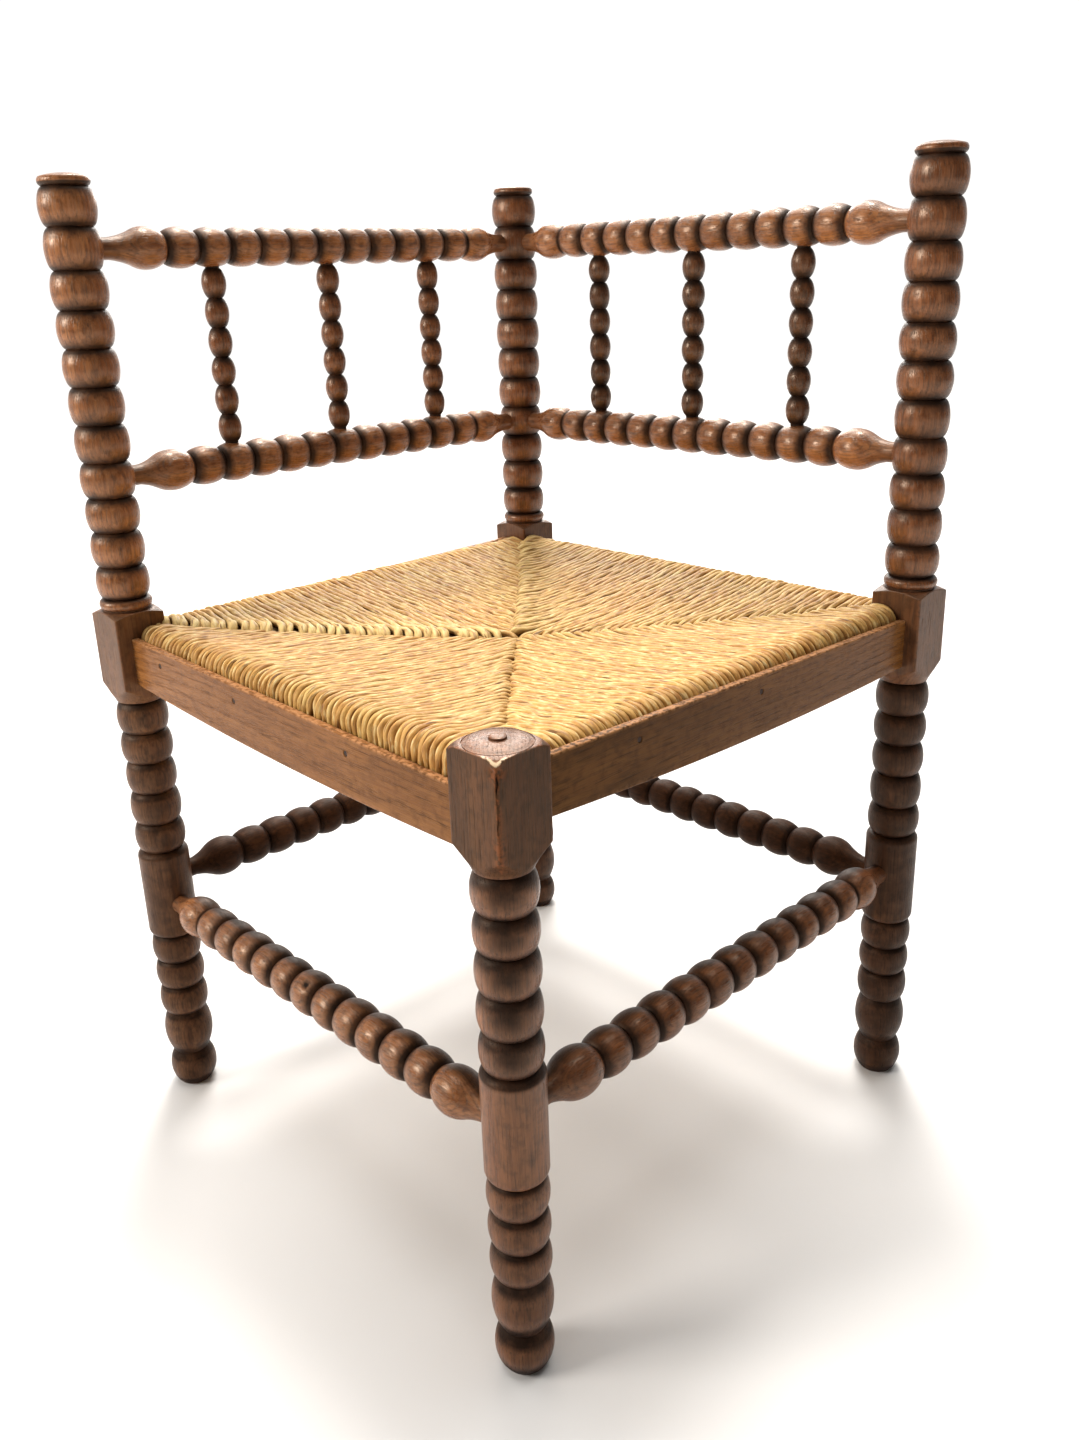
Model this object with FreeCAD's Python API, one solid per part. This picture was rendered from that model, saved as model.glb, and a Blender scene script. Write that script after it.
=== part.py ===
import FreeCAD, Part
import math
import os

# Corner chair of bobbin-turned oak with a rush seat, in millimetres.
# Four posts stand at the corners of a square and the chair faces along one diagonal.
# The short post is the front corner; the three tall posts carry two rails on each back side.
# The origin is on the floor under the middle of the seat, with Z up.
# The left post is at -X -Y, the front post at +X -Y, the right post at +X +Y, the back post at -X +Y.
# A side is drawn once, along X between the left and front posts, and turned about Z to the others.

# Plan
post_spacing = 440.0
stock = 42.0

# Turned lower part of every post, from the floor up
foot_height = 33.0
foot_bulge_height = 18.0
foot_radius = 20.0
foot_base_radius = 14.0
neck_radius = 14.8
vase_length = 41.5
vase_radius = 20.6
ankle_beads = (26.5, 26.0, 26.0)
barrel_length = 81.0
barrel_radius = 20.9
barrel_round = 9.0
leg_beads = (26.0, 28.0, 27.5, 26.0, 27.0)
bead_radius = 20.7
groove_radius = 16.8

# Square block that takes the seat frame
block_edge_cut = 2.0
shoulder_height = 16.0
shoulder_bulge = 1.6
block_height = 56.0
block_top_slope = 4.6

# Turned upper part of the tall posts
fillet_height = 1.4
fillet_radius = 18.4
collar_height = 8.5
collar_radius = 20.4
back_beads = (25.5, 27.5, 26.5, 27.0, 28.0, 28.0, 27.5, 27.5, 27.5, 29.5, 27.5)
lower_rail_bead = 4
top_rail_bead = 10
cap_height = 9.0
cap_radius = 18.4
cap_edge = 1.4
cap_crown = 2.4

# Turned top of the front post: its ring stands above the block's top, and the corners roll down from it
front_ring_rise = 4.7
front_slope = 6.5
front_slope_bulge = 1.2
dome_radius = 20.2
dome_height = 2.2
nub_radius = 4.6
nub_height = 2.0

# Turned back rails and stretchers
rail_beads = 11
rail_pitch = 27.3
rail_vase_length = 27.0
rail_taper_length = 17.0
rail_neck_radius = 8.0
top_rail_radius = 15.2
lower_rail_radius = 16.0
stretcher_radius = 16.6
rail_groove_depth = 4.2
front_left_stretcher_rise = 32.5
front_right_stretcher_rise = 46.5
back_right_stretcher_rise = 37.5
back_left_stretcher_rise = 51.5

# Spindles between the two rails of a back side
spindle_beads = 6
spindle_radius = 9.7
spindle_groove_radius = 6.0
spindle_flank = 0.33
spindle_tenon = 9.0
beads_between_spindles = 4

# Seat frame inside the rush
seat_rail_width = 18.0
seat_rail_depth = 26.0
seat_rail_round = 6.0
seat_rail_drop = 13.5
seat_tenon_width = 10.0
seat_tenon_depth = 10.5
seat_tenon_length = 14.0
seat_tenon_margin = 1.2

# Rush
rush_thickness = 6.0
rush_sag = 19.0
rush_dish = 2.5
rush_middle_thickness = 16.0

# Edge strips nailed over the rush, whose top edge slopes from one end of a side to the other
strip_thickness = 6.2
strip_set_back = 11.0
low_strip_drops = (15.5, 27.5)
high_strip_drops = (10.0, 17.0)
strip_end_depth = 38.0
strip_belly = 5.5
low_strip_nails = (-156.0, -49.0, 85.0)
high_strip_nails = (-113.0, 12.0)
nail_drop = 12.0
nail_radius = 0.8
nail_head_radius = 1.7
nail_head_thickness = 0.9
nail_length = 22.0
nail_sink = 0.4

# Clearances
joint_clearance = 0.15
tip_clearance = 0.3
soft_clearance = 0.3
nail_clearance = 0.05
tip_wall = 0.8

# Heights up the posts
vase_top = foot_height + vase_length
ankle_top = vase_top + sum(ankle_beads)
barrel_top = ankle_top + barrel_length
leg_top = barrel_top + sum(leg_beads)
block_bottom = leg_top + shoulder_height
block_top = block_bottom + block_height
collar_bottom = block_top + block_top_slope + fillet_height
collar_top = collar_bottom + collar_height
back_top = collar_top + sum(back_beads)
post_top = back_top + cap_height

# Places across the plan
half_span = post_spacing / 2
half_stock = stock / 2
block_reach = half_stock * math.sqrt(2) + block_edge_cut
inner_face = half_span - half_stock
strip_face = half_span + half_stock - strip_set_back
strip_back = strip_face - strip_thickness
rush_face = strip_back - soft_clearance
rush_roll = seat_rail_round + rush_thickness
seat_rail_outer = rush_face - rush_thickness
seat_rail_inner = seat_rail_outer - seat_rail_width
seat_rail_middle = seat_rail_outer - seat_rail_width / 2
seat_rail_top = block_top - seat_rail_drop
seat_rail_bottom = seat_rail_top - seat_rail_depth
low_strip_tops = (block_top - low_strip_drops[0], block_top - low_strip_drops[1])
high_strip_tops = (block_top - high_strip_drops[0], block_top - high_strip_drops[1])
rail_tip = half_span - rail_neck_radius - tip_wall
bead_run = rail_beads * rail_pitch / 2
spindle_spacing = beads_between_spindles * rail_pitch


def bead_middle(first, beads, number):
    """Height of the middle of one bead of a stack, counted from 1 upwards."""
    return first + sum(beads[:number - 1]) + beads[number - 1] / 2


lower_rail_height = bead_middle(collar_top, back_beads, lower_rail_bead)
top_rail_height = bead_middle(collar_top, back_beads, top_rail_bead)
spindle_foot = lower_rail_height + lower_rail_radius
spindle_head = top_rail_height - top_rail_radius

# The four sides in order round the plan, each from its start post to the next post
sides = [
    {"name": "front_left", "stretcher": ankle_top + front_left_stretcher_rise, "low": True, "backed": False},
    {"name": "front_right", "stretcher": ankle_top + front_right_stretcher_rise, "low": False, "backed": False},
    {"name": "back_right", "stretcher": ankle_top + back_right_stretcher_rise, "low": True, "backed": True},
    {"name": "back_left", "stretcher": ankle_top + back_left_stretcher_rise, "low": False, "backed": True},
]
start_posts = ["left", "front", "right", "back"]


def at(r, z):
    return FreeCAD.Vector(r, 0, z)


def line(a, b):
    return Part.makeLine(a, b)


def arc(a, middle, b):
    return Part.Arc(a, middle, b).toShape()


def turn(outline, foot, head):
    """Solid of revolution about Z from outline edges that run up from foot to head."""
    edges = list(outline)
    if head.x > 0:
        edges.append(line(head, at(0, head.z)))
    edges.append(line(at(0, head.z), at(0, foot.z)))
    edges.append(line(at(0, foot.z), foot))
    face = Part.Face(Part.Wire(edges))
    return face.revolve(FreeCAD.Vector(0, 0, 0), FreeCAD.Vector(0, 0, 1), 360)


def crown(rim, top):
    """Arc of a sphere that closes a turned end on its axis."""
    rise = top - rim.z
    sphere = (rim.x ** 2 + rise ** 2) / (2 * rise)
    half_angle = math.asin(rim.x / sphere) / 2
    middle = at(sphere * math.sin(half_angle), top - sphere * (1 - math.cos(half_angle)))
    return arc(rim, middle, at(0, top))


def bead_row(start, lengths, radius, groove):
    """One arc for each bead, stacked upwards between narrow grooves."""
    edges = []
    z = start
    for length in lengths:
        edges.append(arc(at(groove, z), at(radius, z + length / 2), at(groove, z + length)))
        z += length
    return edges


def banded_row(start, pitch, count, radius, groove):
    """Small beads, each two cones with a plain band between them."""
    edges = []
    for number in range(count):
        z = start + number * pitch
        low = at(radius, z + spindle_flank * pitch)
        high = at(radius, z + (1 - spindle_flank) * pitch)
        edges += [line(at(groove, z), low), line(low, high), line(high, at(groove, z + pitch))]
    return edges


def foot_outline():
    """Bun foot, neck and vase, up to the first small bead."""
    waist = at(neck_radius, foot_height)
    belly = at(vase_radius, foot_height + 0.6 * vase_length)
    return [
        arc(at(foot_base_radius, 0), at(foot_radius, foot_bulge_height), waist),
        arc(waist, belly, at(groove_radius, vase_top)),
    ]


def barrel_outline():
    """Long plain stretch that takes the stretchers, rounded over at both ends."""
    low = at(barrel_radius, ankle_top + barrel_round)
    high = at(barrel_radius, barrel_top - barrel_round)
    reach = groove_radius + (barrel_radius - groove_radius) * math.sqrt(0.5)
    shift = barrel_round * (1 - math.sqrt(0.5))
    return [
        arc(at(groove_radius, ankle_top), at(reach, ankle_top + shift), low),
        line(low, high),
        arc(high, at(reach, barrel_top - shift), at(groove_radius, barrel_top)),
    ]


def block_outline(top):
    """Limit of the square block: a turned shoulder, wider than its edges, cuts its lower corners."""
    middle = (groove_radius + block_reach) / 2 + shoulder_bulge
    curve = at(middle, leg_top + shoulder_height / 2 - shoulder_bulge)
    corner = at(block_reach, block_bottom)
    return [arc(at(groove_radius, leg_top), curve, corner), line(corner, at(block_reach, top))]


def lower_outline(top):
    edges = foot_outline()
    edges += bead_row(vase_top, ankle_beads, bead_radius, groove_radius)
    edges += barrel_outline()
    edges += bead_row(barrel_top, leg_beads, bead_radius, groove_radius)
    return edges + block_outline(top)


def tall_outline():
    """Upper part of a tall post: slope, fillet, collar, eleven beads and a thin cap."""
    slope_end = at(collar_radius, block_top + block_top_slope)
    fillet_low = at(fillet_radius, block_top + block_top_slope)
    fillet_high = at(fillet_radius, collar_bottom)
    collar_belly = at(collar_radius, collar_bottom + 0.45 * collar_height)
    edges = [
        line(at(block_reach, block_top), slope_end),
        line(slope_end, fillet_low),
        line(fillet_low, fillet_high),
        arc(fillet_high, collar_belly, at(groove_radius, collar_top)),
    ]
    edges += bead_row(collar_top, back_beads, bead_radius, groove_radius)
    rim = at(cap_radius - cap_edge, post_top - cap_crown)
    edges.append(arc(at(groove_radius, back_top), at(cap_radius, (back_top + rim.z) / 2), rim))
    edges.append(crown(rim, post_top))
    return edges


def front_outline(top):
    """Upper end of the front post: rounded slope, low dome and a small nub in its middle."""
    ring = top + front_slope
    dome_top = ring + dome_height
    nub_rim = at(nub_radius, dome_top + nub_height / 2)
    slope_middle = at((block_reach + dome_radius) / 2 + front_slope_bulge, ring - front_slope / 3)
    return [
        arc(at(block_reach, top), slope_middle, at(dome_radius, ring)),
        arc(at(dome_radius, ring), at(0.62 * dome_radius, dome_top - 0.25 * dome_height), at(nub_radius, dome_top)),
        line(at(nub_radius, dome_top), nub_rim),
        crown(nub_rim, dome_top + nub_height),
    ]


def post_blank(outline, top):
    """Turned post whose block keeps the four flats of the squared stock."""
    body = turn(outline, at(foot_base_radius, 0), at(0, top))
    corner = FreeCAD.Vector(-half_stock, -half_stock, -stock)
    body = body.common(Part.makeBox(stock, stock, top + 2 * stock, corner))
    body.translate(FreeCAD.Vector(-half_span, -half_span, 0))
    return body


def placed(shape, quarter_turns):
    """Copy of a shape turned about Z from the front-left side to another side."""
    copy = shape.copy()
    copy.rotate(FreeCAD.Vector(0, 0, 0), FreeCAD.Vector(0, 0, 1), 90 * quarter_turns)
    return copy


def round_mortise(end, height):
    """Hole for a turned neck, at the start (-1) or the end (1) of the side."""
    base = FreeCAD.Vector(end * (rail_tip + tip_clearance), -half_span, height)
    inwards = FreeCAD.Vector(-end, 0, 0)
    return Part.makeCylinder(rail_neck_radius + joint_clearance, stock, base, inwards)


def side_box(x0, x1, near, far, z0, z1):
    """Box along the front-left side, from one distance behind the middle of the seat to another."""
    return Part.makeBox(x1 - x0, far - near, z1 - z0, FreeCAD.Vector(x0, -far, z0))


def tenon_bottom(low):
    """Height of the underside of a seat rail's tenon: low and high tenons pass each other in a post."""
    if low:
        return seat_rail_bottom + seat_tenon_margin
    return seat_rail_top - seat_tenon_margin - seat_tenon_depth


def seat_tenon(end, low, gap, tip_gap):
    """Square tenon at one end of a seat rail, or its mortise with a gap all round."""
    bottom = tenon_bottom(low)
    reach = inner_face + seat_tenon_length + tip_gap
    root = inner_face - seat_tenon_length
    x0, x1 = sorted((end * root, end * reach))
    near = seat_rail_middle - seat_tenon_width / 2 - gap
    far = seat_rail_middle + seat_tenon_width / 2 + gap
    return side_box(x0, x1, near, far, bottom - gap, bottom + seat_tenon_depth + gap)


def mortises(side, end):
    """Every hole that one side needs in the post at one of its ends."""
    holes = [round_mortise(end, side["stretcher"])]
    holes.append(seat_tenon(end, side["low"], joint_clearance, tip_clearance))
    if side["backed"]:
        holes.append(round_mortise(end, lower_rail_height))
        holes.append(round_mortise(end, top_rail_height))
    return holes


def post(number):
    """Post at the start of a side, bored for that side and for the side before it."""
    if start_posts[number] == "front":
        ring = block_top + front_ring_rise
        outline = lower_outline(ring - front_slope) + front_outline(ring - front_slope)
        blank = post_blank(outline, ring + dome_height + nub_height)
    else:
        blank = post_blank(lower_outline(block_top) + tall_outline(), post_top)
    holes = mortises(sides[number], -1)
    holes += [placed(hole, -1) for hole in mortises(sides[number - 1], 1)]
    return placed(blank.cut(holes), number)


def rail_outline(radius):
    """Neck, pear-shaped vase, eleven beads, vase and neck, drawn along Z."""
    groove = radius - rail_groove_depth
    vase_end = bead_run + rail_vase_length
    neck_end = vase_end + rail_taper_length
    swell = bead_run + 0.42 * rail_vase_length
    flank = rail_neck_radius + 0.62 * (radius - rail_neck_radius)
    taper = rail_neck_radius + 0.22 * (radius - rail_neck_radius)
    taper_middle = (vase_end + neck_end) / 2
    head = [
        arc(at(groove, bead_run), at(radius, swell), at(flank, vase_end)),
        arc(at(flank, vase_end), at(taper, taper_middle), at(rail_neck_radius, neck_end)),
        line(at(rail_neck_radius, neck_end), at(rail_neck_radius, rail_tip)),
    ]
    tail = [
        line(at(rail_neck_radius, -rail_tip), at(rail_neck_radius, -neck_end)),
        arc(at(rail_neck_radius, -neck_end), at(taper, -taper_middle), at(flank, -vase_end)),
        arc(at(flank, -vase_end), at(radius, -swell), at(groove, -bead_run)),
    ]
    return tail + bead_row(-bead_run, [rail_pitch] * rail_beads, radius, groove) + head


def turned_rail(radius, height):
    """Turned rail or stretcher, laid along the front-left side."""
    rail = turn(rail_outline(radius), at(rail_neck_radius, -rail_tip), at(rail_neck_radius, rail_tip))
    rail.rotate(FreeCAD.Vector(0, 0, 0), FreeCAD.Vector(0, 1, 0), 90)
    rail.translate(FreeCAD.Vector(0, -half_span, height))
    return rail


def spindle_places():
    return [-spindle_spacing, 0.0, spindle_spacing]


def spindle_hole(place, edge, upwards):
    """Blind hole for a spindle's end, from the crest of a rail's bead into the rail."""
    base = FreeCAD.Vector(place, -half_span, edge - upwards * stock)
    depth = stock + spindle_tenon + tip_clearance
    radius = spindle_groove_radius + joint_clearance
    return Part.makeCylinder(radius, depth, base, FreeCAD.Vector(0, 0, upwards))


def top_rail():
    rail = turned_rail(top_rail_radius, top_rail_height)
    return rail.cut([spindle_hole(place, spindle_head, 1) for place in spindle_places()])


def lower_rail():
    rail = turned_rail(lower_rail_radius, lower_rail_height)
    return rail.cut([spindle_hole(place, spindle_foot, -1) for place in spindle_places()])


def spindle(place):
    """Six-bead spindle with a plain round end in each rail."""
    groove = spindle_groove_radius
    pitch = (spindle_head - spindle_foot) / spindle_beads
    low = at(groove, spindle_foot - spindle_tenon)
    high = at(groove, spindle_head + spindle_tenon)
    outline = [line(low, at(groove, spindle_foot))]
    outline += banded_row(spindle_foot, pitch, spindle_beads, spindle_radius, groove)
    outline.append(line(at(groove, spindle_head), high))
    body = turn(outline, low, high)
    body.translate(FreeCAD.Vector(place, -half_span, 0))
    return body


def across(w, z):
    """Point in the cross-section of a side, at distance w outwards from the middle of the seat."""
    return FreeCAD.Vector(0, -w, z)


def rounded_section(near, far, bottom, top, round_radius):
    """Face of a rectangle with rounded corners in the cross-section of a side."""
    k = round_radius * (1 - math.sqrt(0.5))
    r = round_radius
    edges = [
        line(across(near + r, bottom), across(far - r, bottom)),
        arc(across(far - r, bottom), across(far - k, bottom + k), across(far, bottom + r)),
        line(across(far, bottom + r), across(far, top - r)),
        arc(across(far, top - r), across(far - k, top - k), across(far - r, top)),
        line(across(far - r, top), across(near + r, top)),
        arc(across(near + r, top), across(near + k, top - k), across(near, top - r)),
        line(across(near, top - r), across(near, bottom + r)),
        arc(across(near, bottom + r), across(near + k, bottom + k), across(near + r, bottom)),
    ]
    return Part.Face(Part.Wire(edges))


def nail_places(side):
    """Along the side and up, where each of its nails goes in."""
    tops = low_strip_tops if side["low"] else high_strip_tops
    nails = low_strip_nails if side["low"] else high_strip_nails
    slope = (tops[1] - tops[0]) / (2 * inner_face)
    middle = (tops[0] + tops[1]) / 2
    return [(x, middle + slope * x - nail_drop) for x in nails]


def nail_bores(side, radius):
    """Holes of one radius along the shanks of a side's nails."""
    start = strip_face + nail_sink
    length = start - (strip_face - nail_sink - nail_length) + tip_clearance
    inwards = FreeCAD.Vector(0, 1, 0)
    return [Part.makeCylinder(radius, length, FreeCAD.Vector(x, -start, z), inwards)
            for x, z in nail_places(side)]


def seat_rail(side):
    """Seat rail with softened corners and a tenon at each end, bored for the strip's nails."""
    half = inner_face - joint_clearance
    section = rounded_section(seat_rail_inner, seat_rail_outer, seat_rail_bottom, seat_rail_top, seat_rail_round)
    body = section.extrude(FreeCAD.Vector(2 * half, 0, 0))
    body.translate(FreeCAD.Vector(-half, 0, 0))
    body = body.fuse([seat_tenon(end, side["low"], 0, 0) for end in (-1, 1)])
    return body.cut(nail_bores(side, nail_radius + nail_clearance)).removeSplitter()


def rush_section(inset):
    """Half section of the seat from its middle out over a seat rail, with its skin drawn in by inset."""
    face = rush_face - inset
    top = rush_crest() - inset
    bottom = seat_rail_bottom - rush_thickness + inset
    r = rush_roll - inset
    k = r * (1 - math.sqrt(0.5))
    flat = seat_rail_inner + seat_rail_round
    middle_top = rush_crest() - rush_sag - inset
    middle_bottom = rush_crest() - rush_sag - rush_middle_thickness + inset
    dish = (top + middle_top) / 2 - rush_dish
    edges = [
        line(across(0, middle_bottom), across(flat, bottom)),
        line(across(flat, bottom), across(face - r, bottom)),
        arc(across(face - r, bottom), across(face - k, bottom + k), across(face, bottom + r)),
        line(across(face, bottom + r), across(face, top - r)),
        arc(across(face, top - r), across(face - k, top - k), across(face - r, top)),
        line(across(face - r, top), across(flat, top)),
        arc(across(flat, top), across(flat / 2, dish), across(0, middle_top)),
        line(across(0, middle_top), across(0, middle_bottom)),
    ]
    return Part.Face(Part.Wire(edges))


def rush_crest():
    return seat_rail_top + rush_thickness


def rush_body(inset):
    """Four panels that meet on the diagonals of the seat."""
    reach = rush_face + stock
    section = rush_section(inset)
    panel = section.extrude(FreeCAD.Vector(2 * reach, 0, 0))
    panel.translate(FreeCAD.Vector(-reach, 0, 0))
    corners = [FreeCAD.Vector(0, 0, 0), FreeCAD.Vector(-reach, -reach, 0), FreeCAD.Vector(reach, -reach, 0)]
    wedge = Part.Face(Part.makePolygon(corners + corners[:1])).extrude(FreeCAD.Vector(0, 0, 2 * rush_crest()))
    panel = panel.common(wedge)
    return panel.fuse([placed(panel, turns) for turns in (1, 2, 3)]).removeSplitter()


def corner_notch(number):
    """Room round a post's block for the soft seat."""
    start = inner_face - soft_clearance
    box = Part.makeBox(stock, stock, 2 * rush_crest(), FreeCAD.Vector(-start - stock, -start - stock, 0))
    return placed(box, number)


def rush_seat():
    """Woven skin that wraps the seat rails and closes over the packing."""
    body = rush_body(0).cut(rush_body(rush_thickness - soft_clearance))
    cuts = [corner_notch(number) for number in range(4)]
    for number, side in enumerate(sides):
        cuts += [placed(bore, number) for bore in nail_bores(side, nail_radius + soft_clearance)]
    return body.cut(cuts)


def rush_packing():
    """Dry packing between the upper and the lower weave, inside the seat rails."""
    limit = seat_rail_inner - soft_clearance
    room = Part.makeBox(2 * limit, 2 * limit, 2 * rush_crest(), FreeCAD.Vector(-limit, -limit, 0))
    body = rush_body(rush_thickness).common(room)
    return body.cut([corner_notch(number) for number in range(4)])


def seat_strip(side):
    """Thin board with a straight top edge and a shallow belly below, bored for its nails."""
    half = inner_face - tip_clearance
    start, end = low_strip_tops if side["low"] else high_strip_tops
    belly = (start + end) / 2 - strip_end_depth - strip_belly
    corners = [
        FreeCAD.Vector(-half, -strip_back, start),
        FreeCAD.Vector(half, -strip_back, end),
        FreeCAD.Vector(half, -strip_back, end - strip_end_depth),
        FreeCAD.Vector(-half, -strip_back, start - strip_end_depth),
    ]
    edges = [
        line(corners[0], corners[1]),
        line(corners[1], corners[2]),
        arc(corners[2], FreeCAD.Vector(0, -strip_back, belly), corners[3]),
        line(corners[3], corners[0]),
    ]
    board = Part.Face(Part.Wire(edges)).extrude(FreeCAD.Vector(0, -strip_thickness, 0))
    cuts = nail_bores(side, nail_radius + nail_clearance)
    sunk = nail_sink + nail_head_thickness
    for x, z in nail_places(side):
        seat = FreeCAD.Vector(x, -strip_face + sunk, z)
        cuts.append(Part.makeCylinder(nail_head_radius + nail_clearance, stock, seat, FreeCAD.Vector(0, -1, 0)))
    return board.cut(cuts)


def strip_nails():
    """Small round-headed nails, each sunk just below the face of its strip."""
    nails = []
    inwards = FreeCAD.Vector(0, 1, 0)
    for number, side in enumerate(sides):
        for x, z in nail_places(side):
            top = FreeCAD.Vector(x, -strip_face + nail_sink, z)
            head = Part.makeCylinder(nail_head_radius, nail_head_thickness, top, inwards)
            shank = Part.makeCylinder(nail_radius, nail_length, top, inwards)
            nails.append(placed(head.fuse(shank).removeSplitter(), number))
    return Part.makeCompound(nails)


def write(name, shape):
    shape.exportStep("parts/" + name + ".step")
    print(name, "solids", len(shape.Solids), "volume", round(shape.Volume), "valid", shape.isValid())


os.makedirs("parts", exist_ok=True)
for number, side in enumerate(sides):
    write("post_" + start_posts[number], post(number))
for number, side in enumerate(sides):
    label = side["name"]
    write("stretcher_" + label, placed(turned_rail(stretcher_radius, side["stretcher"]), number))
    write("seat_rail_" + label, placed(seat_rail(side), number))
    write("seat_strip_" + label, placed(seat_strip(side), number))
    if side["backed"]:
        write("top_rail_" + label, placed(top_rail(), number))
        write("lower_rail_" + label, placed(lower_rail(), number))
        for count, place in enumerate(spindle_places()):
            write("spindle_" + label + "_" + str(count + 1), placed(spindle(place), number))
write("strip_nails", strip_nails())
write("rush_seat", rush_seat())
write("rush_packing", rush_packing())
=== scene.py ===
# %% [markdown]
# # A bobbin-turned corner chair with a rush seat
#
# The construction model already says where every piece is and how big it is. This lesson loads it as a
# fixed frame and gives each piece its finish: waxed oak with its growth rings, worn boards, iron nails and a
# seat of twisted rush. Nothing here moves or resizes a piece of the frame.

# %% Load the frame
import math

import bpy
import numpy as np
from mathutils import Matrix, Vector


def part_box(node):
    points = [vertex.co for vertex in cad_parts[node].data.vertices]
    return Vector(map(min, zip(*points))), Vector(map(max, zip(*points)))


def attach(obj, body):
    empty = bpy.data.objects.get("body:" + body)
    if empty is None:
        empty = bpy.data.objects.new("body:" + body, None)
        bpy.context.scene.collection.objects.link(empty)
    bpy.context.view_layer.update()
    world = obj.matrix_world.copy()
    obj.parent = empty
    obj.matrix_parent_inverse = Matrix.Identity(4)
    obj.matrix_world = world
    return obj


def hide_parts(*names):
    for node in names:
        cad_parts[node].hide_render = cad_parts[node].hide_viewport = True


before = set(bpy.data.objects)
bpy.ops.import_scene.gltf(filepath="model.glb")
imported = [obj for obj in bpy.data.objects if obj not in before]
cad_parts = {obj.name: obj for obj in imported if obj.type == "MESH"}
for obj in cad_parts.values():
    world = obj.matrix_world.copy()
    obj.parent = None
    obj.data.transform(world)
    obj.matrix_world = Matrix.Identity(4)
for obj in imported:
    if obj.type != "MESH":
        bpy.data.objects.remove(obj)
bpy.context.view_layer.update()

# %% [markdown]
# ## The driving sizes
#
# A turner works from a stick with the lengths of the beads marked on it. The same lengths stand here, in
# millimetres from the floor up, and the places of the posts are read from the frame, so that a dressed
# post always stands where the frame's post does.

# %% Sizes of the turning
MM = 0.001

foot_height, foot_bulge, foot_radius, foot_base = 33.0, 18.0, 20.0, 14.0
neck_radius, vase_length, vase_radius = 14.8, 41.5, 20.6
ankle_beads = [26.5, 26.0, 26.0]
barrel_length, barrel_radius, barrel_round = 81.0, 20.9, 7.0
leg_beads = [26.0, 28.0, 27.5, 26.0, 27.0]
shoulder_height, shoulder_foot, shoulder_bulge = 16.0, 18.6, -1.8
block_height, block_slope = 56.0, 4.6
fillet_height, fillet_radius = 1.4, 18.4
collar_height, collar_radius = 8.5, 20.4
back_beads = [25.5, 27.5, 26.5, 27.0, 28.0, 28.0, 27.5, 27.5, 27.5, 29.5, 27.5]
cap_height, cap_radius = 9.0, 18.4
bead_radius, groove_radius = 20.7, 15.9

front_ring_rise, front_slope, front_slope_bulge = 4.7, 6.5, 1.2
dome_radius, dome_height = 20.2, 2.2
nub_radius, nub_height = 5.4, 2.0

rail_beads, rail_pitch, rail_vase, rail_taper, rail_neck = 11, 27.3, 27.0, 17.0, 8.0
rail_groove_depth = 5.0
rail_run = rail_beads * rail_pitch / 2
spindle_beads, spindle_radius, spindle_groove = 6, 9.7, 5.4

vase_top = foot_height + vase_length
ankle_top = vase_top + sum(ankle_beads)
barrel_top = ankle_top + barrel_length
leg_top = barrel_top + sum(leg_beads)
block_bottom = leg_top + shoulder_height
block_top = block_bottom + block_height
collar_bottom = block_top + block_slope + fillet_height
collar_top = collar_bottom + collar_height
back_top = collar_top + sum(back_beads)
print("block from", block_bottom, "to", block_top, "mm, cap from", back_top, "mm")

# %% Places read from the frame
post_names = ["left", "front", "right", "back"]
side_names = ["front_left", "front_right", "back_right", "back_left"]
side_axes = ["x", "y", "x", "y"]
seeds = {"post": 100, "rail": 200, "spindle": 300, "rush": 400, "strip": 500}


def box_of(node_name):
    """Lowest and highest corner of a node's box, in millimetres."""
    low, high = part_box(node_name)
    return np.array(low) / MM, np.array(high) / MM


post_places = {name: sum(box_of("post_" + name))[:2] / 2 for name in post_names}
half_span = float(np.abs(post_places["right"]).mean())
block_low, block_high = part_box("post_front")
half_stock = float(block_high[0] - block_low[0]) / (2 * MM)
print("posts", round(2 * half_span, 1), "mm apart, stock", round(2 * half_stock, 1), "mm")

# %% [markdown]
# ## Camera
#
# The camera stands a little above seat height in front of the short post. It could be aimed with a
# constraint, but then its roll is lost. Three turns, for heading, tilt and roll, say the same thing openly.

# %% Camera
camera_place = (0.6829, -0.6296, 0.6887)
camera_heading, camera_tilt, camera_roll = 136.576, -19.321, -1.966
camera_lens = 30.13
camera_shift = (0.0043, -0.0180)


def make_camera():
    """Camera looking along heading (from +X towards +Y) and tilt, then rolled about its own view line."""
    data = bpy.data.cameras.new("camera")
    data.lens = camera_lens
    data.shift_x, data.shift_y = camera_shift
    data.clip_start, data.clip_end = 0.05, 50.0
    camera = bpy.data.objects.new("camera", data)
    bpy.context.scene.collection.objects.link(camera)
    heading, tilt, roll = (math.radians(a) for a in (camera_heading, camera_tilt, camera_roll))
    look = Vector((math.cos(tilt) * math.cos(heading), math.cos(tilt) * math.sin(heading), math.sin(tilt)))
    turn = look.to_track_quat("-Z", "Y").to_matrix() @ Matrix.Rotation(roll, 3, "Z")
    camera.matrix_world = Matrix.Translation(camera_place) @ turn.to_4x4()
    bpy.context.scene.camera = camera


make_camera()
print("camera at", camera_place, "looking", camera_heading, camera_tilt, camera_roll)

# %% [markdown]
# ## Nodes and two formulas
#
# Every material is a small calculation at each point of a surface. Written out node by node it hides what it
# says, so one class gives each kind of step a short name. Two formulas return all through the lesson: a bell
# curve, and a value kept between 0 and 1.

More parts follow.
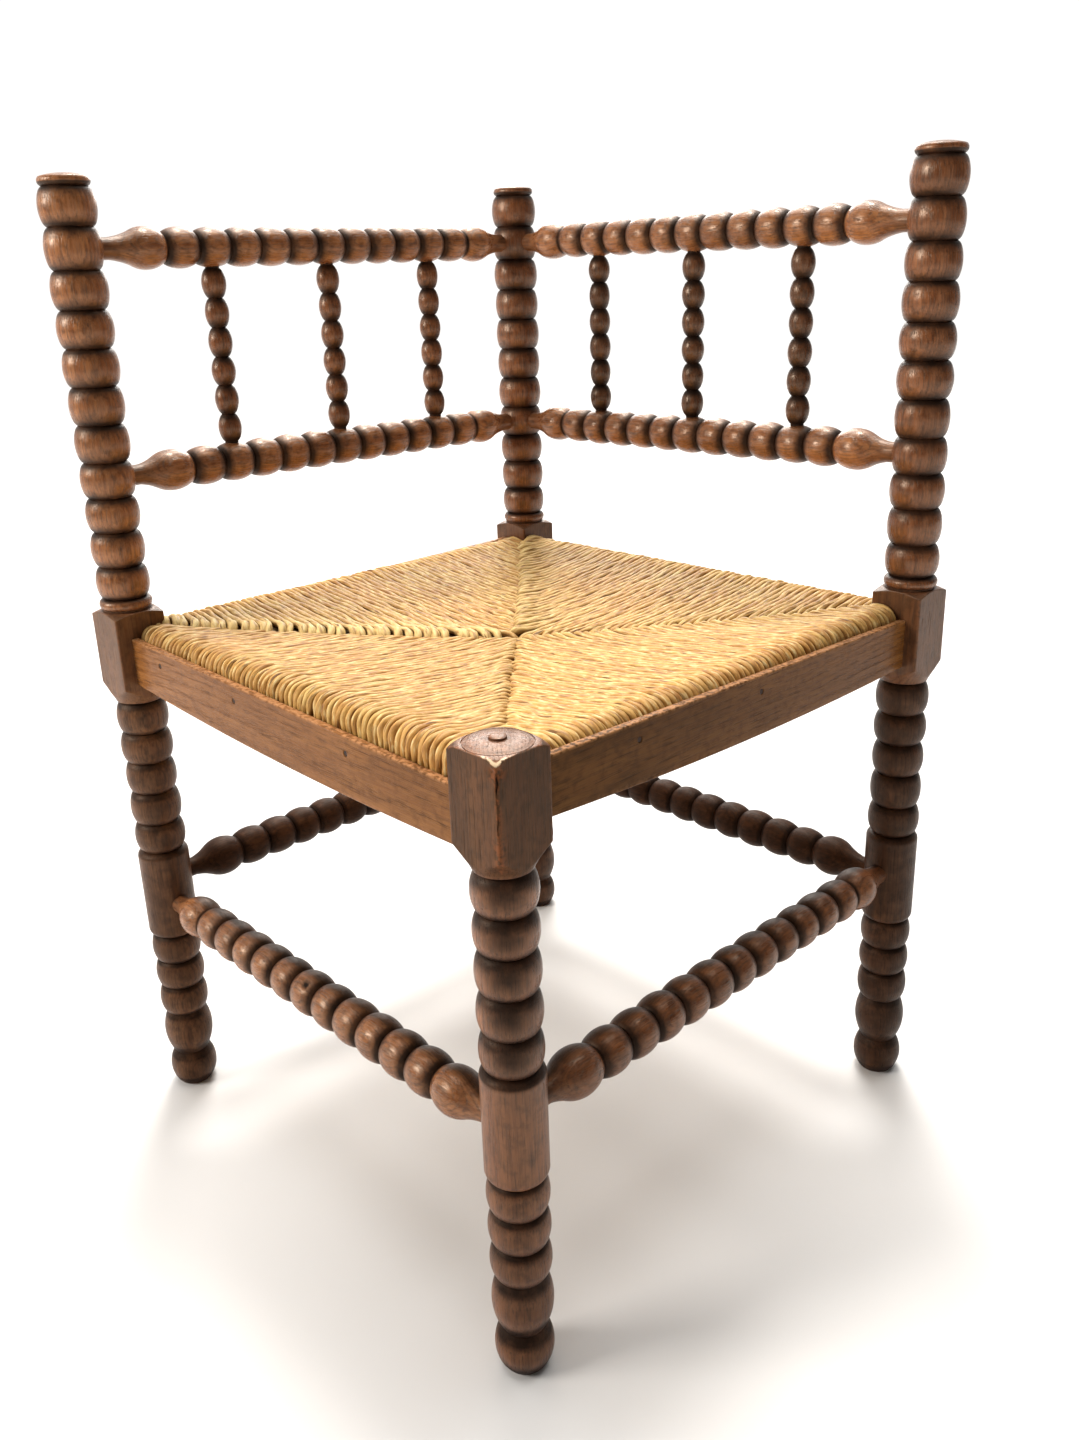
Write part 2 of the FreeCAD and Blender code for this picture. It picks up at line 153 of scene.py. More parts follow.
# %% Short names
class Nodes:
    """The node tree of a material or world, with its last node."""

    def __init__(self, owner, last="Principled BSDF"):
        owner.use_nodes = True
        self.owner, self.tree = owner, owner.node_tree
        self.last = self.tree.nodes[last]

    def put(self, made, key, value):
        """Links value into an input of a node when it is a socket, and sets the input otherwise."""
        if isinstance(value, bpy.types.NodeSocket):
            self.tree.links.new(value, made.inputs[key])
        else:
            made.inputs[key].default_value = value

    def node(self, kind, settings=None, **inputs):
        """Adds a node, sets its properties and fills its inputs by name, or by number as i0 and i1."""
        made = self.tree.nodes.new("ShaderNode" + kind)
        for key, value in (settings or {}).items():
            setattr(made, key, value)
        for key, value in inputs.items():
            self.put(made, int(key[1:]) if key[1:].isdigit() else key, value)
        return made

    def close(self, inputs):
        """Fills inputs of the last node and gives back the material or world."""
        for key, value in inputs.items():
            self.put(self.last, key, value)
        return self.owner

    def here(self, kind="Object"):
        return self.node("TexCoord").outputs[kind]

    def finish(self):
        """Dirt with painted shade, dryness and wear, which build_piece keeps as red, green and blue."""
        colour = self.node("Attribute", {"attribute_name": "finish"}).outputs["Color"]
        return list(self.node("SeparateColor", i0=colour).outputs)

    def calc(self, operation, a, b=0.0):
        return self.node("Math", {"operation": operation}, i0=a, i1=b).outputs[0]

    def times(self, a, b):
        return self.calc("MULTIPLY", a, b)

    def plus(self, a, b):
        return self.calc("ADD", a, b)

    def vector(self, operation, a, b):
        return self.node("VectorMath", {"operation": operation}, i0=a, i1=b).outputs[0]

    def noise(self, place, scale, detail=3.0, roughness=0.5, stretch=None, output="Fac"):
        """Noise about 0.5, in cycles per metre, at a place that is first multiplied by stretch."""
        if stretch:
            place = self.vector("MULTIPLY", place, stretch)
        made = self.node("TexNoise", Vector=place, Scale=scale, Detail=detail, Roughness=roughness)
        return made.outputs[output]

    def mix(self, factor, a, b):
        """Mix of two colours, b where factor is 1."""
        return self.node("Mix", {"data_type": "RGBA"}, i0=factor, i6=a, i7=b).outputs[2]

    def ramp(self, value, *stops):
        """Colour or grey ramp through (place, colour) pairs."""
        made = self.node("ValToRGB", Fac=value)
        elements = made.color_ramp.elements
        while len(elements) < len(stops):
            elements.new(0.5)
        for element, (place, colour) in zip(elements, stops):
            element.position = place
            element.color = (*colour, 1) if isinstance(colour, tuple) else (colour, colour, colour, 1)
        return made.outputs["Color"]

    def bump(self, height, strength, distance):
        return self.node("Bump", Strength=strength, Distance=distance, Height=height).outputs[0]


def new_material(name):
    return Nodes(bpy.data.materials.new(name))


def bell(x, width, power=2):
    """Bell curve e^(-(x / width)^power), which is 1 where x is 0."""
    return np.exp(-(x / width) ** power)


def unit(x):
    """x kept between 0 and 1."""
    return np.clip(x, 0, 1)


# %% [markdown]
# ## Studio
#
# A pale floor, a broad light overhead with a brighter patch in it, two windows behind, one at the left and a
# weak lamp at the right stand in for a bright room, and the room itself is bright behind the chair and dim in
# front of it. Large lights give waxed turning its long soft highlights; small ones would leave hard white
# dots on every bead and a dark shadow on the seat, and light from all sides no shape.

# %% Floor and lights
daylight = (1.0, 0.97, 0.93)
light_aim = (0, 0, 0.4)


def make_floor(reach=6.0):
    mesh = bpy.data.meshes.new("floor")
    corners = [(-reach, -reach, 0), (reach, -reach, 0), (reach, reach, 0), (-reach, reach, 0)]
    mesh.from_pydata(corners, [], [(0, 1, 2, 3)])
    floor = bpy.data.objects.new("floor", mesh)
    bpy.context.scene.collection.objects.link(floor)
    pale = new_material("floor_pale").close({"Base Color": (0.66, 0.65, 0.64, 1), "Roughness": 0.9})
    mesh.materials.append(pale)


def make_light(name, kind, place, aim, energy, colour):
    """Light at a place, facing the aim point. Its data comes back, to be given a size."""
    data = bpy.data.lights.new(name, kind)
    data.energy, data.color = energy, colour
    light = bpy.data.objects.new(name, data)
    light.location = place
    light.rotation_mode = "QUATERNION"
    light.rotation_quaternion = (Vector(aim) - Vector(place)).to_track_quat("-Z", "Y")
    bpy.context.scene.collection.objects.link(light)
    return data


def make_panel_light(name, place, size, power, colour=daylight):
    """Square area light that faces the middle of the chair."""
    make_light(name, "AREA", place, light_aim, power, colour).size = size


def make_sun(name, place, spread, strength, colour=daylight):
    """Even light from a patch of ceiling that many degrees wide, the same over the whole floor."""
    make_light(name, "SUN", place, (0, 0, 0), strength, colour).angle = math.radians(spread)


def make_world(colour, bright, dim, bright_side):
    """Room light: from dim in front to bright behind, by how far a direction points to the bright side."""
    room = Nodes(bpy.data.worlds.new("room"), "Background")
    facing = room.node("VectorMath", {"operation": "DOT_PRODUCT"}, i0=room.here("Generated"), i1=bright_side)
    strength = room.node("MapRange", {"interpolation_type": "SMOOTHSTEP"},
                         i0=facing.outputs["Value"], i1=-0.1, i2=0.8, i3=dim, i4=bright)
    inputs = {"Color": (*colour, 1), "Strength": strength.outputs["Result"]}
    bpy.context.scene.world = room.close(inputs)


make_floor()
make_world((1.0, 0.985, 0.965), 1.06, 0.08, (-0.854, 0.521, 0.0))
make_sun("ceiling", (-0.42, 0.46, 2.0), 60, 3.05, (1.0, 0.985, 0.96))
make_sun("skylight", (-0.54, 0.60, 2.0), 13, 2.0)
make_panel_light("rear_window", (-2.5, 2.3, 3.1), 2.0, 62)
make_panel_light("low_window", (-2.9, 2.7, 1.9), 1.6, 50)
make_panel_light("window", (-1.1, -2.2, 1.5), 1.0, 60, (1.0, 0.95, 0.89))
make_panel_light("lamp", (2.3, -0.5, 0.9), 1.0, 2.0, (1.0, 0.93, 0.85))
bpy.context.scene.view_settings.view_transform = "Standard"

# %% [markdown]
# ## From arrays to meshes
#
# Every new piece is a tube: rings of points carried along a path. A ring is one row of an array, so a whole
# piece is one array of shape (rings, sides, 3), and the faces follow from counting. Blender's spin and
# screw tools could turn a profile too, but an array can also carry what varies round the piece: the
# flats of a squared block, a crack, or wear.

# %% Put tubes into a mesh
uv_stride = np.array([0.731, 0.057])


def tube_faces(rings, sides):
    """Corner numbers of a tube's quads, ring by ring, with its side numbers wrapping round at the last."""
    ring = np.arange(rings - 1)[:, None] * sides
    side = np.arange(sides)[None, :]
    after = (side + 1) % sides
    return np.stack([ring + side, ring + after, ring + sides + after, ring + sides + side], -1).reshape(-1, 4)


def tube_uv(rings, sides, length, girth):
    """UV corners of a tube's quads: u runs along it and v round it, in metres, without wrapping."""
    ring, side = np.indices((rings - 1, sides))
    u = np.stack([ring, ring, ring + 1, ring + 1], -1)
    v = np.stack([side, side + 1, side + 1, side], -1)
    return np.stack([u * length / (rings - 1), v * girth / sides], -1).reshape(-1, 2)


def path_length(points):
    """Length of a line of points in millimetres, given back in metres."""
    return np.linalg.norm(np.diff(points, axis=0), axis=1).sum() * MM


def build_piece(name, tubes, finishes, material, stands_for, sharp=40.0):
    """One mesh from a list of tubes, each an array (rings, sides, 3) in millimetres, capped at both ends.

    finishes holds one array (rings, sides, 3) for each tube, kept as the colour attribute "finish". Each
    tube's UV map starts a stride further on, so that no two tubes show the same pattern."""
    points, corners, totals, uvs, finish = [], [], [], [], []
    start = 0
    for tube, look in zip(tubes, finishes):
        rings, sides = tube.shape[:2]
        quads = tube_faces(rings, sides) + start
        caps = np.stack([np.arange(sides)[::-1], (rings - 1) * sides + np.arange(sides)]) + start
        points.append(tube.reshape(-1, 3) * MM)
        finish.append(look.reshape(-1, 3))
        corners += [quads.ravel(), caps.ravel()]
        totals += [np.full(len(quads), 4), np.full(2, sides)]
        uv = tube_uv(rings, sides, path_length(tube[:, 0]), path_length(tube[rings // 2]))
        uvs += [uv + uv_stride * len(points), np.zeros((2 * sides, 2))]
        start += rings * sides
    points, corners, totals = (np.concatenate(rows) for rows in (points, corners, totals))
    mesh = bpy.data.meshes.new(name)
    mesh.vertices.add(len(points))
    mesh.vertices.foreach_set("co", points.astype(np.float32).ravel())
    mesh.loops.add(len(corners))
    mesh.loops.foreach_set("vertex_index", corners.astype(np.int32))
    mesh.polygons.add(len(totals))
    mesh.polygons.foreach_set("loop_start", np.concatenate([[0], np.cumsum(totals)[:-1]]).astype(np.int32))
    mesh.polygons.foreach_set("use_smooth", np.ones(len(totals), bool))
    mesh.update(calc_edges=True)
    mesh.uv_layers.new(name="UVMap").data.foreach_set("uv", np.concatenate(uvs).astype(np.float32).ravel())
    colour = mesh.attributes.new("finish", "FLOAT_COLOR", "POINT")
    rgba = np.concatenate([np.concatenate(finish), np.ones((len(points), 1))], axis=1)
    colour.data.foreach_set("color", rgba.astype(np.float32).ravel())
    mesh.set_sharp_from_angle(angle=math.radians(sharp))
    mesh.materials.append(material)
    piece = bpy.data.objects.new(name, mesh)
    bpy.context.scene.collection.objects.link(piece)
    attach(piece, "root")
    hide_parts(stands_for)
    print(name, len(totals), "faces")


# %% [markdown]
# ## Curves of the profile
#
# A turned profile is a chain of short curves. Two are enough here: the circle through three points, for
# feet, vases and coves, and a bead. A bead could be a circle's arc too, but a turner rolls it round and
# then parts it from its neighbour with the tool's corner, so its groove is a steep cut of its own.

# %% Profile curves
def arc(a, m, b, count):
    """Points (r, z) on the circle through a, m and b, at even angles from a to b.

    The centre c solves 2 (m - a) . c = m.m - a.a and 2 (b - m) . c = b.b - m.m."""
    a, m, b = (np.array(p, float) for p in (a, m, b))
    centre = np.linalg.solve(2 * np.array([m - a, b - m]), [m @ m - a @ a, b @ b - m @ m])
    angles = np.unwrap([math.atan2(*(p - centre)[::-1]) for p in (a, m, b)])
    t = np.linspace(angles[0], angles[2], count)
    radius = np.linalg.norm(a - centre)
    return np.stack([centre[0] + radius * np.cos(t), centre[1] + radius * np.sin(t)], -1)


def bead(z, length, radius, groove, cut):
    """Points (r, z) of a bead: r = radius - (radius - groove) ((1 - cut) |s|^2.1 + cut |s|^12).

    s runs from -1 to 1. The first part rolls the bead over and the second, a share called cut, is the
    steep parting groove."""
    s = np.sin(np.linspace(-math.pi / 2, math.pi / 2, 17))
    fall = (1 - cut) * np.abs(s) ** 2.1 + cut * np.abs(s) ** 12
    return np.stack([radius - (radius - groove) * fall, z + length * (s + 1) / 2], -1)


def bead_chain(z, lengths, radius, groove, rng, cut=0.3):
    """Beads stacked from z upwards, each a hair thinner than the stick and with its own depth of groove."""
    chain = []
    for length in lengths:
        chain.append(bead(z, length, radius - abs(rng.normal(0, 0.18)), groove + rng.normal(0, 0.25), cut))
        z += length
    return np.concatenate(chain)


def straight(a, b, step=1.2):
    """Points from a to b, about a step apart."""
    count = max(2, int(np.hypot(b[0] - a[0], b[1] - a[1]) / step) + 1)
    return np.linspace(a, b, count)


def joined(parts):
    """One profile from its parts, without the points that lie on their forerunner."""
    points = np.concatenate(parts)
    return points[np.concatenate([[True], np.linalg.norm(np.diff(points, axis=0), axis=1) > 1e-3])]


# %% [markdown]
# ## Posts
#
# A post starts as a squared stick. The lathe rounds it everywhere except at the seat, where the block keeps
# its four flats. So a post is one formula: at every height and angle its radius is the smaller of the
# turned profile and the squared stick. A boolean of a turning and a box gives the same shape, but leaves a
# mesh that can't carry wear. Angles are packed close at the block's corners, where the shape turns most.

# %% Profiles of the posts
block_reach = half_stock * math.sqrt(2) + 2.0


def lower_profile(rng, top):
    """Foot, vase, small beads, barrel, beads and the shoulder under the block, as points (r, z)."""
    low = (barrel_radius, ankle_top + barrel_round)
    high = (barrel_radius, barrel_top - barrel_round)
    reach = groove_radius + (barrel_radius - groove_radius) * math.sqrt(0.5)
    shift = barrel_round * (1 - math.sqrt(0.5))
    waist = (neck_radius, foot_height)
    belly = (vase_radius, foot_height + 0.6 * vase_length)
    shoulder = (shoulder_foot, leg_top + 1.2)
    middle = ((shoulder_foot + block_reach) / 2 + shoulder_bulge,
              leg_top + shoulder_height / 2 - shoulder_bulge)
    corner = (block_reach, block_bottom + 1.5)
    return [
        arc((foot_base, 0), (foot_radius, foot_bulge), waist, 18),
        arc(waist, belly, (groove_radius, vase_top), 20),
        bead_chain(vase_top, ankle_beads, bead_radius, groove_radius, rng),
        arc((groove_radius, ankle_top), (reach, ankle_top + shift), low, 7),
        straight(low, high, 4.0),
        arc(high, (reach, barrel_top - shift), (groove_radius, barrel_top), 7),
        bead_chain(barrel_top, leg_beads, bead_radius, groove_radius, rng),
        straight((groove_radius, leg_top), shoulder, 0.5),
        arc(shoulder, middle, corner, 22),
        straight(corner, (block_reach, top)),
    ]


def tall_profile(rng):
    """A tall post from floor to cap."""
    slope_end = block_top + block_slope
    rim = (cap_radius - 1.4, back_top + cap_height - 2.4)
    return joined(lower_profile(rng, block_top) + [
        straight((block_reach, block_top), (collar_radius, slope_end), 0.7),
        straight((fillet_radius, slope_end), (fillet_radius, collar_bottom), 0.7),
        arc((fillet_radius, collar_bottom), (collar_radius, collar_bottom + 0.45 * collar_height),
            (groove_radius, collar_top), 12),
        bead_chain(collar_top, back_beads, bead_radius, groove_radius, rng),
        arc((groove_radius, back_top), (cap_radius, (back_top + rim[1]) / 2), rim, 12),
        arc(rim, (rim[0] * 0.51, back_top + cap_height - 0.6), (0.4, back_top + cap_height), 10),
    ])


def front_profile(rng):
    """The short front post, whose block rolls over to a ring and ends in a low dome with a nub."""
    ring = block_top + front_ring_rise
    crown = ring + dome_height
    slope_middle = ((block_reach + dome_radius) / 2 + front_slope_bulge, ring - front_slope / 3)
    return joined(lower_profile(rng, ring - front_slope) + [
        arc((block_reach, ring - front_slope), slope_middle, (dome_radius + 0.7, ring), 26),
        straight((dome_radius + 0.5, ring - 0.7), (dome_radius, ring - 0.7), 0.4),
        arc((dome_radius, ring), (0.62 * dome_radius, crown - 0.25 * dome_height), (nub_radius, crown), 14),
        straight((nub_radius - 0.1, crown - 0.5), (nub_radius - 0.2, crown + 0.55 * nub_height), 0.7),
        arc((nub_radius - 0.3, crown + 0.6 * nub_height), (nub_radius / 2, crown + 0.92 * nub_height),
            (0.4, crown + nub_height), 6),
    ])


# %% Surface of a post
post_sides = 120
corner_power = 30
face_relief = 0.15


def even_angles(sides):
    return np.arange(sides) * 2 * math.pi / sides


def corner_angles(sides):
    """Angles round a post, closest together at the block's corners: p - 0.75 sin(4 (p - 45 degrees)) / 4."""
    p = even_angles(sides)
    return p - 0.75 * np.sin(4 * (p - math.pi / 4)) / 4


def soft_min(a, b, blend):
    """Smaller of two arrays, rounded over where they cross: -blend log(e^(-a/blend) + e^(-b/blend))."""
    low = np.minimum(a, b)
    return low - blend * np.log(np.exp((low - a) / blend) + np.exp((low - b) / blend))


def square_reach(angles):
    """Reach of the block's square with worn corners: half / (|cos|^n + |sin|^n)^(1/n), n = corner_power."""
    n = corner_power
    spread = (np.abs(np.cos(angles)) ** n + np.abs(np.sin(angles)) ** n) ** (1 / n)
    return ((half_stock - face_relief) / spread)[None, :]


def post_surface(profile, rng):
    """Angles, heights, the radius at each of them about the post's own axis, and the share of block."""
    angles = corner_angles(post_sides)
    r, z = profile[:, :1], profile[:, 1:]
    out_of_round = 0.10 * np.sin(2 * angles + rng.uniform(0, 6)) * np.sin(z / 90 + rng.uniform(0, 6))
    in_block = unit((z - leg_top) / 4) * unit((block_top + block_slope + 1 - z) / 2)
    limit = np.where(in_block > 0, square_reach(angles), 99.0)
    return angles, z, soft_min(r + out_of_round * (1 - in_block), limit, 0.18), in_block


closest = np.diff(corner_angles(post_sides)).min()
print("post angles", post_sides, "closest", round(math.degrees(closest), 2), "degrees")

# %% [markdown]
# ## Dirt, painted shade, dryness and worn edges
#
# Old wax turns black in the grooves, and painted shade deepens them and darkens what lies under the seat.
# The lower legs and the block are dry and grey, and handled edges show fresh reddish wood. Painting these by
# hand would not follow a change of size. Each is worked out here from the shape instead, and kept in one
# colour attribute: red for dirt and painted shade, green for dryness, blue for wear.

# %% Finish of a post
def spots(angles, z, places):
    """Sum of small round dents, each a bell curve of the distance along and round the surface."""
    total = np.zeros((len(z), len(angles)))
    for angle, height, width, depth in places:
        around = np.angle(np.exp(1j * (angles - angle))) * bead_radius
        total += depth * np.exp(-(around[None, :] ** 2 + (z - height) ** 2) / width ** 2)
    return total


def groove_dirt(r, crest, groove):
    """Dirt and painted shade at radius r: none near the crest of a bead, growing to full half way down to the
    groove.
    """
    return unit(((crest - r) / (crest - groove) - 0.10) / 0.42)


def upper_side(profile, none, full):
    """How far the surface faces up: 0 where it leans up by none degrees, 1 from full degrees on."""
    lean = -np.degrees(np.arctan2(np.gradient(profile[:, 0]), np.gradient(profile[:, 1])))
    return unit((lean - none) / (full - none))[:, None]


def post_finish(z, radius, profile, in_block, leg_dirt_and_shade, block_dry, near_shade):
    """Dirt and painted shade in the grooves, and painted shade of the seat on the upper sides of the leg's
    beads, over an even darkening of the leg that is painted shade under the seat with a little grime.

    The block is dry, and the leg a little, and the block's corners are worn. On the front post's side
    towards the sitter the painted shade reaches lower on the beads, as a painted dark reflection."""
    dirt_and_shade = groove_dirt(profile[:, :1], bead_radius, groove_radius)
    in_leg = unit((leg_top + 4 - z) / 6)
    on_bead = (z > barrel_top) | (z < ankle_top)
    # Painted shade of the seat on the upper sides of the leg's beads, reaching lower on the front post's side
    # towards the sitter as a painted dark reflection
    upper_shade = np.maximum(upper_side(profile, 0, 18), near_shade * on_bead * upper_side(profile, -24, 3))
    upper_shade = upper_shade * in_leg * np.clip((z - 100) / 140, 0.5, 0.97)
    # Even darkening of the leg: painted shade under the seat with a little grime
    dirt_and_shade = np.maximum(np.maximum(dirt_and_shade, upper_shade), leg_dirt_and_shade * in_leg)
    dirt_and_shade = np.where((z < 0.5) | (z > back_top + 3), 0, dirt_and_shade) * (1 - in_block) + 0 * radius
    dry = block_dry * in_block + 0.2 * unit((leg_top - z) / 260) + 0 * radius
    corner = unit((radius - half_stock * 1.31) / (half_stock * 0.07))
    return np.stack([dirt_and_shade, unit(dry), 0.45 * corner * in_block], -1)


def from_near_edge(angles):
    """Distance round the front block from the corner that faces the sitter's knees, in millimetres."""
    return np.angle(np.exp(1j * (angles + math.pi / 4)))[None, :] * half_stock * 1.38


def near_edge_crack(angles, z, top):
    """Split down the near corner of the front block: a short open cut high up and a fine one lower down."""
    across = from_near_edge(angles) - 0.22 * np.sin(z / 3.1) - 0.12 * np.sin(z / 1.2)
    wide = bell(z - top + 9.5, 5.0, 4)
    fine = 0.55 * bell(z - top + 33, 6.5, 4) + 0.25 * bell(z - top + 19, 7, 4)
    return 1.5 * (wide + fine) * bell(across, 0.32 + 0.3 * wide)


def near_edge_chips(angles, z, top):
    """Small bites out of the near corner just under the top of the front block."""
    around = from_near_edge(angles)
    ragged = 0.5 + 0.5 * np.sin(around * 1.4 + 2 * np.sin(z * 0.8))
    return (0.9 + 0.7 * ragged) * bell(z - top + 2.5, 3.0) * bell(around, 4.5)


def near_edge_wear(angles, z, top):
    """Bare reddish wood: a patch under the top of the near corner and a narrow, uneven line down it."""
    around = from_near_edge(angles)
    patch = bell(z - top + 4.5, 4.0) * bell(around, 5.0)
    line = bell(around, 1.4 + 0.6 * np.sin(z / 4.3)) * unit((z - leg_top - 4) / 4)
    low = 0.8 * bell(z - block_bottom - 8, 9) * bell(around, 3.5)
    return unit(patch + line + low)


def bare_rim(r, angles, z):
    """Pale broken wood with a painted highlight on the front block's top edge, where its rounded top of
    radius r meets the flats.
    """
    on_edge = bell(r - square_reach(angles) + 0.9, 1.7) * (z > block_top - 6)
    return on_edge * (1.3 * bell(from_near_edge(angles), 15, 4) + 0.3)


def dome_dirt(r):
    """Painted shade on the front post's dome: a dark ring in the crease round the nub and a fainter one
    inside the rim.
    """
    return 0.7 * bell(r - nub_radius - 0.6, 0.8) + 0.35 * bell(r - dome_radius + 2.2, 0.7)


# %% [markdown]
# ## Wood
#
# Oak's figure comes from its growth rings: shells round the middle of the tree, cut open by the turning.
# Where a bead bulges through the shells they show as bull's eyes. So the material measures the distance
# from the tree's middle line at each point in space and repeats a ring every few millimetres, which puts the
# eyes on the beads by itself. A wood picture wrapped round the pieces could not do that.

# %% The oak
grain_order = {"x": (1, 2, 0), "y": (2, 0, 1), "z": (0, 1, 2)}
ring_width = 0.0021
dry_tone = (0.027, 0.016, 0.007, 1)
# Pale broken wood, partly a painted highlight on the front block's top edge
bare_and_highlight_tone = (0.62, 0.46, 0.29, 1)
# Dark of old dirt and of painted shade in the grooves and under the seat
grime_and_shade_tone = (0.010, 0.0055, 0.004, 1)
wax_tint = (1.0, 0.80, 0.62, 1)


def oak(name, grain, pith, tones, figure=0.36, worn=(0.20, 0.062, 0.021, 1), gloss=0.62):
    """Waxed oak. grain is the axis the wood runs along, pith the place of the tree's middle across it.

    tones are the dark, middle and light colours, figure says how strongly the rings show, and worn is the
    colour of rubbed edges. Ring number = distance from the pith / ring_width, and its fraction runs from
    open, dark spring wood to dense summer wood. Wear above 1 is bare, pale wood with a painted highlight.
    The red of the finish is dirt together with painted shade."""
    wood = new_material(name)
    axes = wood.node("SeparateXYZ", i0=wood.here()).outputs
    first, second, third = (axes[k] for k in grain_order[grain])
    local = wood.node("CombineXYZ", i0=first, i1=second, i2=third).outputs[0]
    local = wood.vector("SUBTRACT", local, (*pith, 0))

    drift = wood.noise(local, 16.0, 2.0, stretch=(1, 1, 0.16), output="Color")
    drift = wood.vector("MULTIPLY", wood.vector("SUBTRACT", drift, (0.5, 0.5, 0.5)), (0.016, 0.016, 0))
    flat = wood.vector("MULTIPLY", wood.vector("ADD", local, drift), (1, 1, 0))
    distance = wood.node("VectorMath", {"operation": "LENGTH"}, i0=flat).outputs["Value"]
    rings = wood.calc("FRACT", wood.calc("DIVIDE", distance, ring_width))
    spring = wood.ramp(rings, (0.0, 1.0), (0.22, 0.55), (0.45, 0.12), (0.85, 0.0), (1.0, 0.9))

    fibre = wood.vector("MULTIPLY", local, (1, 1, 0.035))
    pores = wood.ramp(wood.noise(fibre, 1500.0, 2.0), (0.50, 0.0), (0.62, 1.0))
    pores = wood.times(pores, wood.plus(wood.times(spring, 0.75), 0.25))
    streak = wood.noise(fibre, 260.0, 4.0)
    threads = wood.noise(local, 430.0, 4.0, 0.62, stretch=(1, 1, 0.14))
    cloud = wood.noise(local, 22.0, stretch=(1, 1, 0.35))
    mottle = wood.noise(local, 160.0, 4.0)

    dark, mid, light = tones
    pore_tone = tuple(0.3 * c for c in dark[:3]) + (1,)
    broken = wood.times(spring, wood.ramp(mottle, (0.35, 0.3), (0.6, 1.0)))
    colour = wood.mix(wood.ramp(streak, (0.3, 0.0), (0.7, 1.0)), mid, light)
    colour = wood.mix(wood.ramp(threads, (0.50, 0.0), (0.72, 0.6)), colour, dark)
    colour = wood.mix(wood.times(broken, figure), colour, dark)
    colour = wood.mix(wood.ramp(mottle, (0.50, 0.0), (0.68, 0.45)), colour, dark)
    colour = wood.mix(wood.ramp(cloud, (0.35, 0.0), (0.7, 0.5)), colour, dark)
    colour = wood.mix(wood.times(pores, 0.6), colour, pore_tone)

    dirt_and_shade, dry, wear = wood.finish()
    faded = wood.mix(wood.plus(wood.times(streak, 0.4), 0.66), colour, dry_tone)
    colour = wood.mix(wood.times(dry, wood.ramp(cloud, (0.3, 0.7), (0.7, 1.0))), colour, faded)
    rubbed = wood.ramp(wood.noise(local, 330.0, 4.0), (0.42, 0.0), (0.56, 1.0))
    colour = wood.mix(wood.times(wood.calc("MINIMUM", wear, 0.75), rubbed), colour, worn)
    # Wear above 1: pale broken wood with a painted highlight on the front block's top edge
    chipped = wood.calc("MAXIMUM", wood.calc("SUBTRACT", wear, 1.0), 0.0)
    colour = wood.mix(wood.times(chipped, rubbed), colour, bare_and_highlight_tone)
    # Dirt and painted shade, the red of the finish, darken the wood here
    grime_and_shade = wood.times(dirt_and_shade, wood.ramp(wood.noise(local, 70.0), (0.2, 0.7), (0.6, 1.0)))
    colour = wood.mix(wood.times(grime_and_shade, 0.95), colour, grime_and_shade_tone)

    rough = wood.plus(wood.times(dry, 0.2), wood.times(pores, 0.18))
    rough = wood.plus(wood.plus(rough, wood.times(streak, 0.12)), wood.times(grime_and_shade, 0.2))
    height = wood.calc("SUBTRACT", wood.times(streak, 0.4), pores)
    dull = wood.calc("MINIMUM", wood.plus(wood.times(grime_and_shade, 0.7), wood.times(dry, 0.75)), 0.85)
    return wood.close({
        "Base Color": colour,
        "Roughness": wood.plus(rough, 0.18),
        "Normal": wood.bump(height, 0.4, 0.0004),
        "Specular IOR Level": wood.times(wood.calc("SUBTRACT", 1.0, dull), gloss),
        "Specular Tint": wax_tint,
    })


warm = ((0.050, 0.014, 0.005, 1), (0.270, 0.094, 0.033, 1), (0.450, 0.190, 0.072, 1))
ruddy = ((0.036, 0.011, 0.004, 1), (0.180, 0.060, 0.022, 1), (0.310, 0.118, 0.045, 1))
umber = ((0.024, 0.009, 0.004, 1), (0.100, 0.036, 0.015, 1), (0.180, 0.072, 0.030, 1))
print("ring width", round(ring_width / MM, 2), "mm")

# %% Turn and dress the four posts
front_corner_rise = 0.5
heart_distance = 0.055
dent_count = 14

# Bearing of the tree's heart, tones, darkening of the leg (painted shade under the seat with a little grime),
# dryness of the block and strength of the rings
post_looks = {"left": (-15, warm, 0.75, 0.7, 0.4), "front": (40, ruddy, 0.12, 1.0, 0.18),
              "right": (-84, ruddy, 0.86, 0.6, 0.4), "back": (35, ruddy, 0.7, 0.6, 0.4)}


def dress_front_block(angles, z, radius, profile, finish):
    """Cracks and chips the front block's near corner, and gives its dome painted shade in its creases and its
    rim pale broken wood with a painted highlight.
    """
    top = block_top + front_corner_rise
    ring = block_top + front_ring_rise
    on_dome = z > ring - 0.8
    crack = near_edge_crack(angles, z, top)
    # Painted shade in the dome's creases, round the nub and inside the rim
    dirt_and_shade = np.where(on_dome, dome_dirt(profile[:, :1]), finish[..., 0])
    finish[..., 0] = np.maximum(dirt_and_shade, unit(crack))
    finish[..., 1] = np.where(on_dome, 0.0, finish[..., 1])
    worn = np.maximum(finish[..., 2], near_edge_wear(angles, z, top))
    # Pale broken wood with a painted highlight along the top edge
    rim = bare_rim(profile[:, :1], angles, z)
    finish[..., 2] = np.where(z < ring - 0.15, np.maximum(worn, 2 * rim), 0.0)
    return radius - crack - near_edge_chips(angles, z, top)


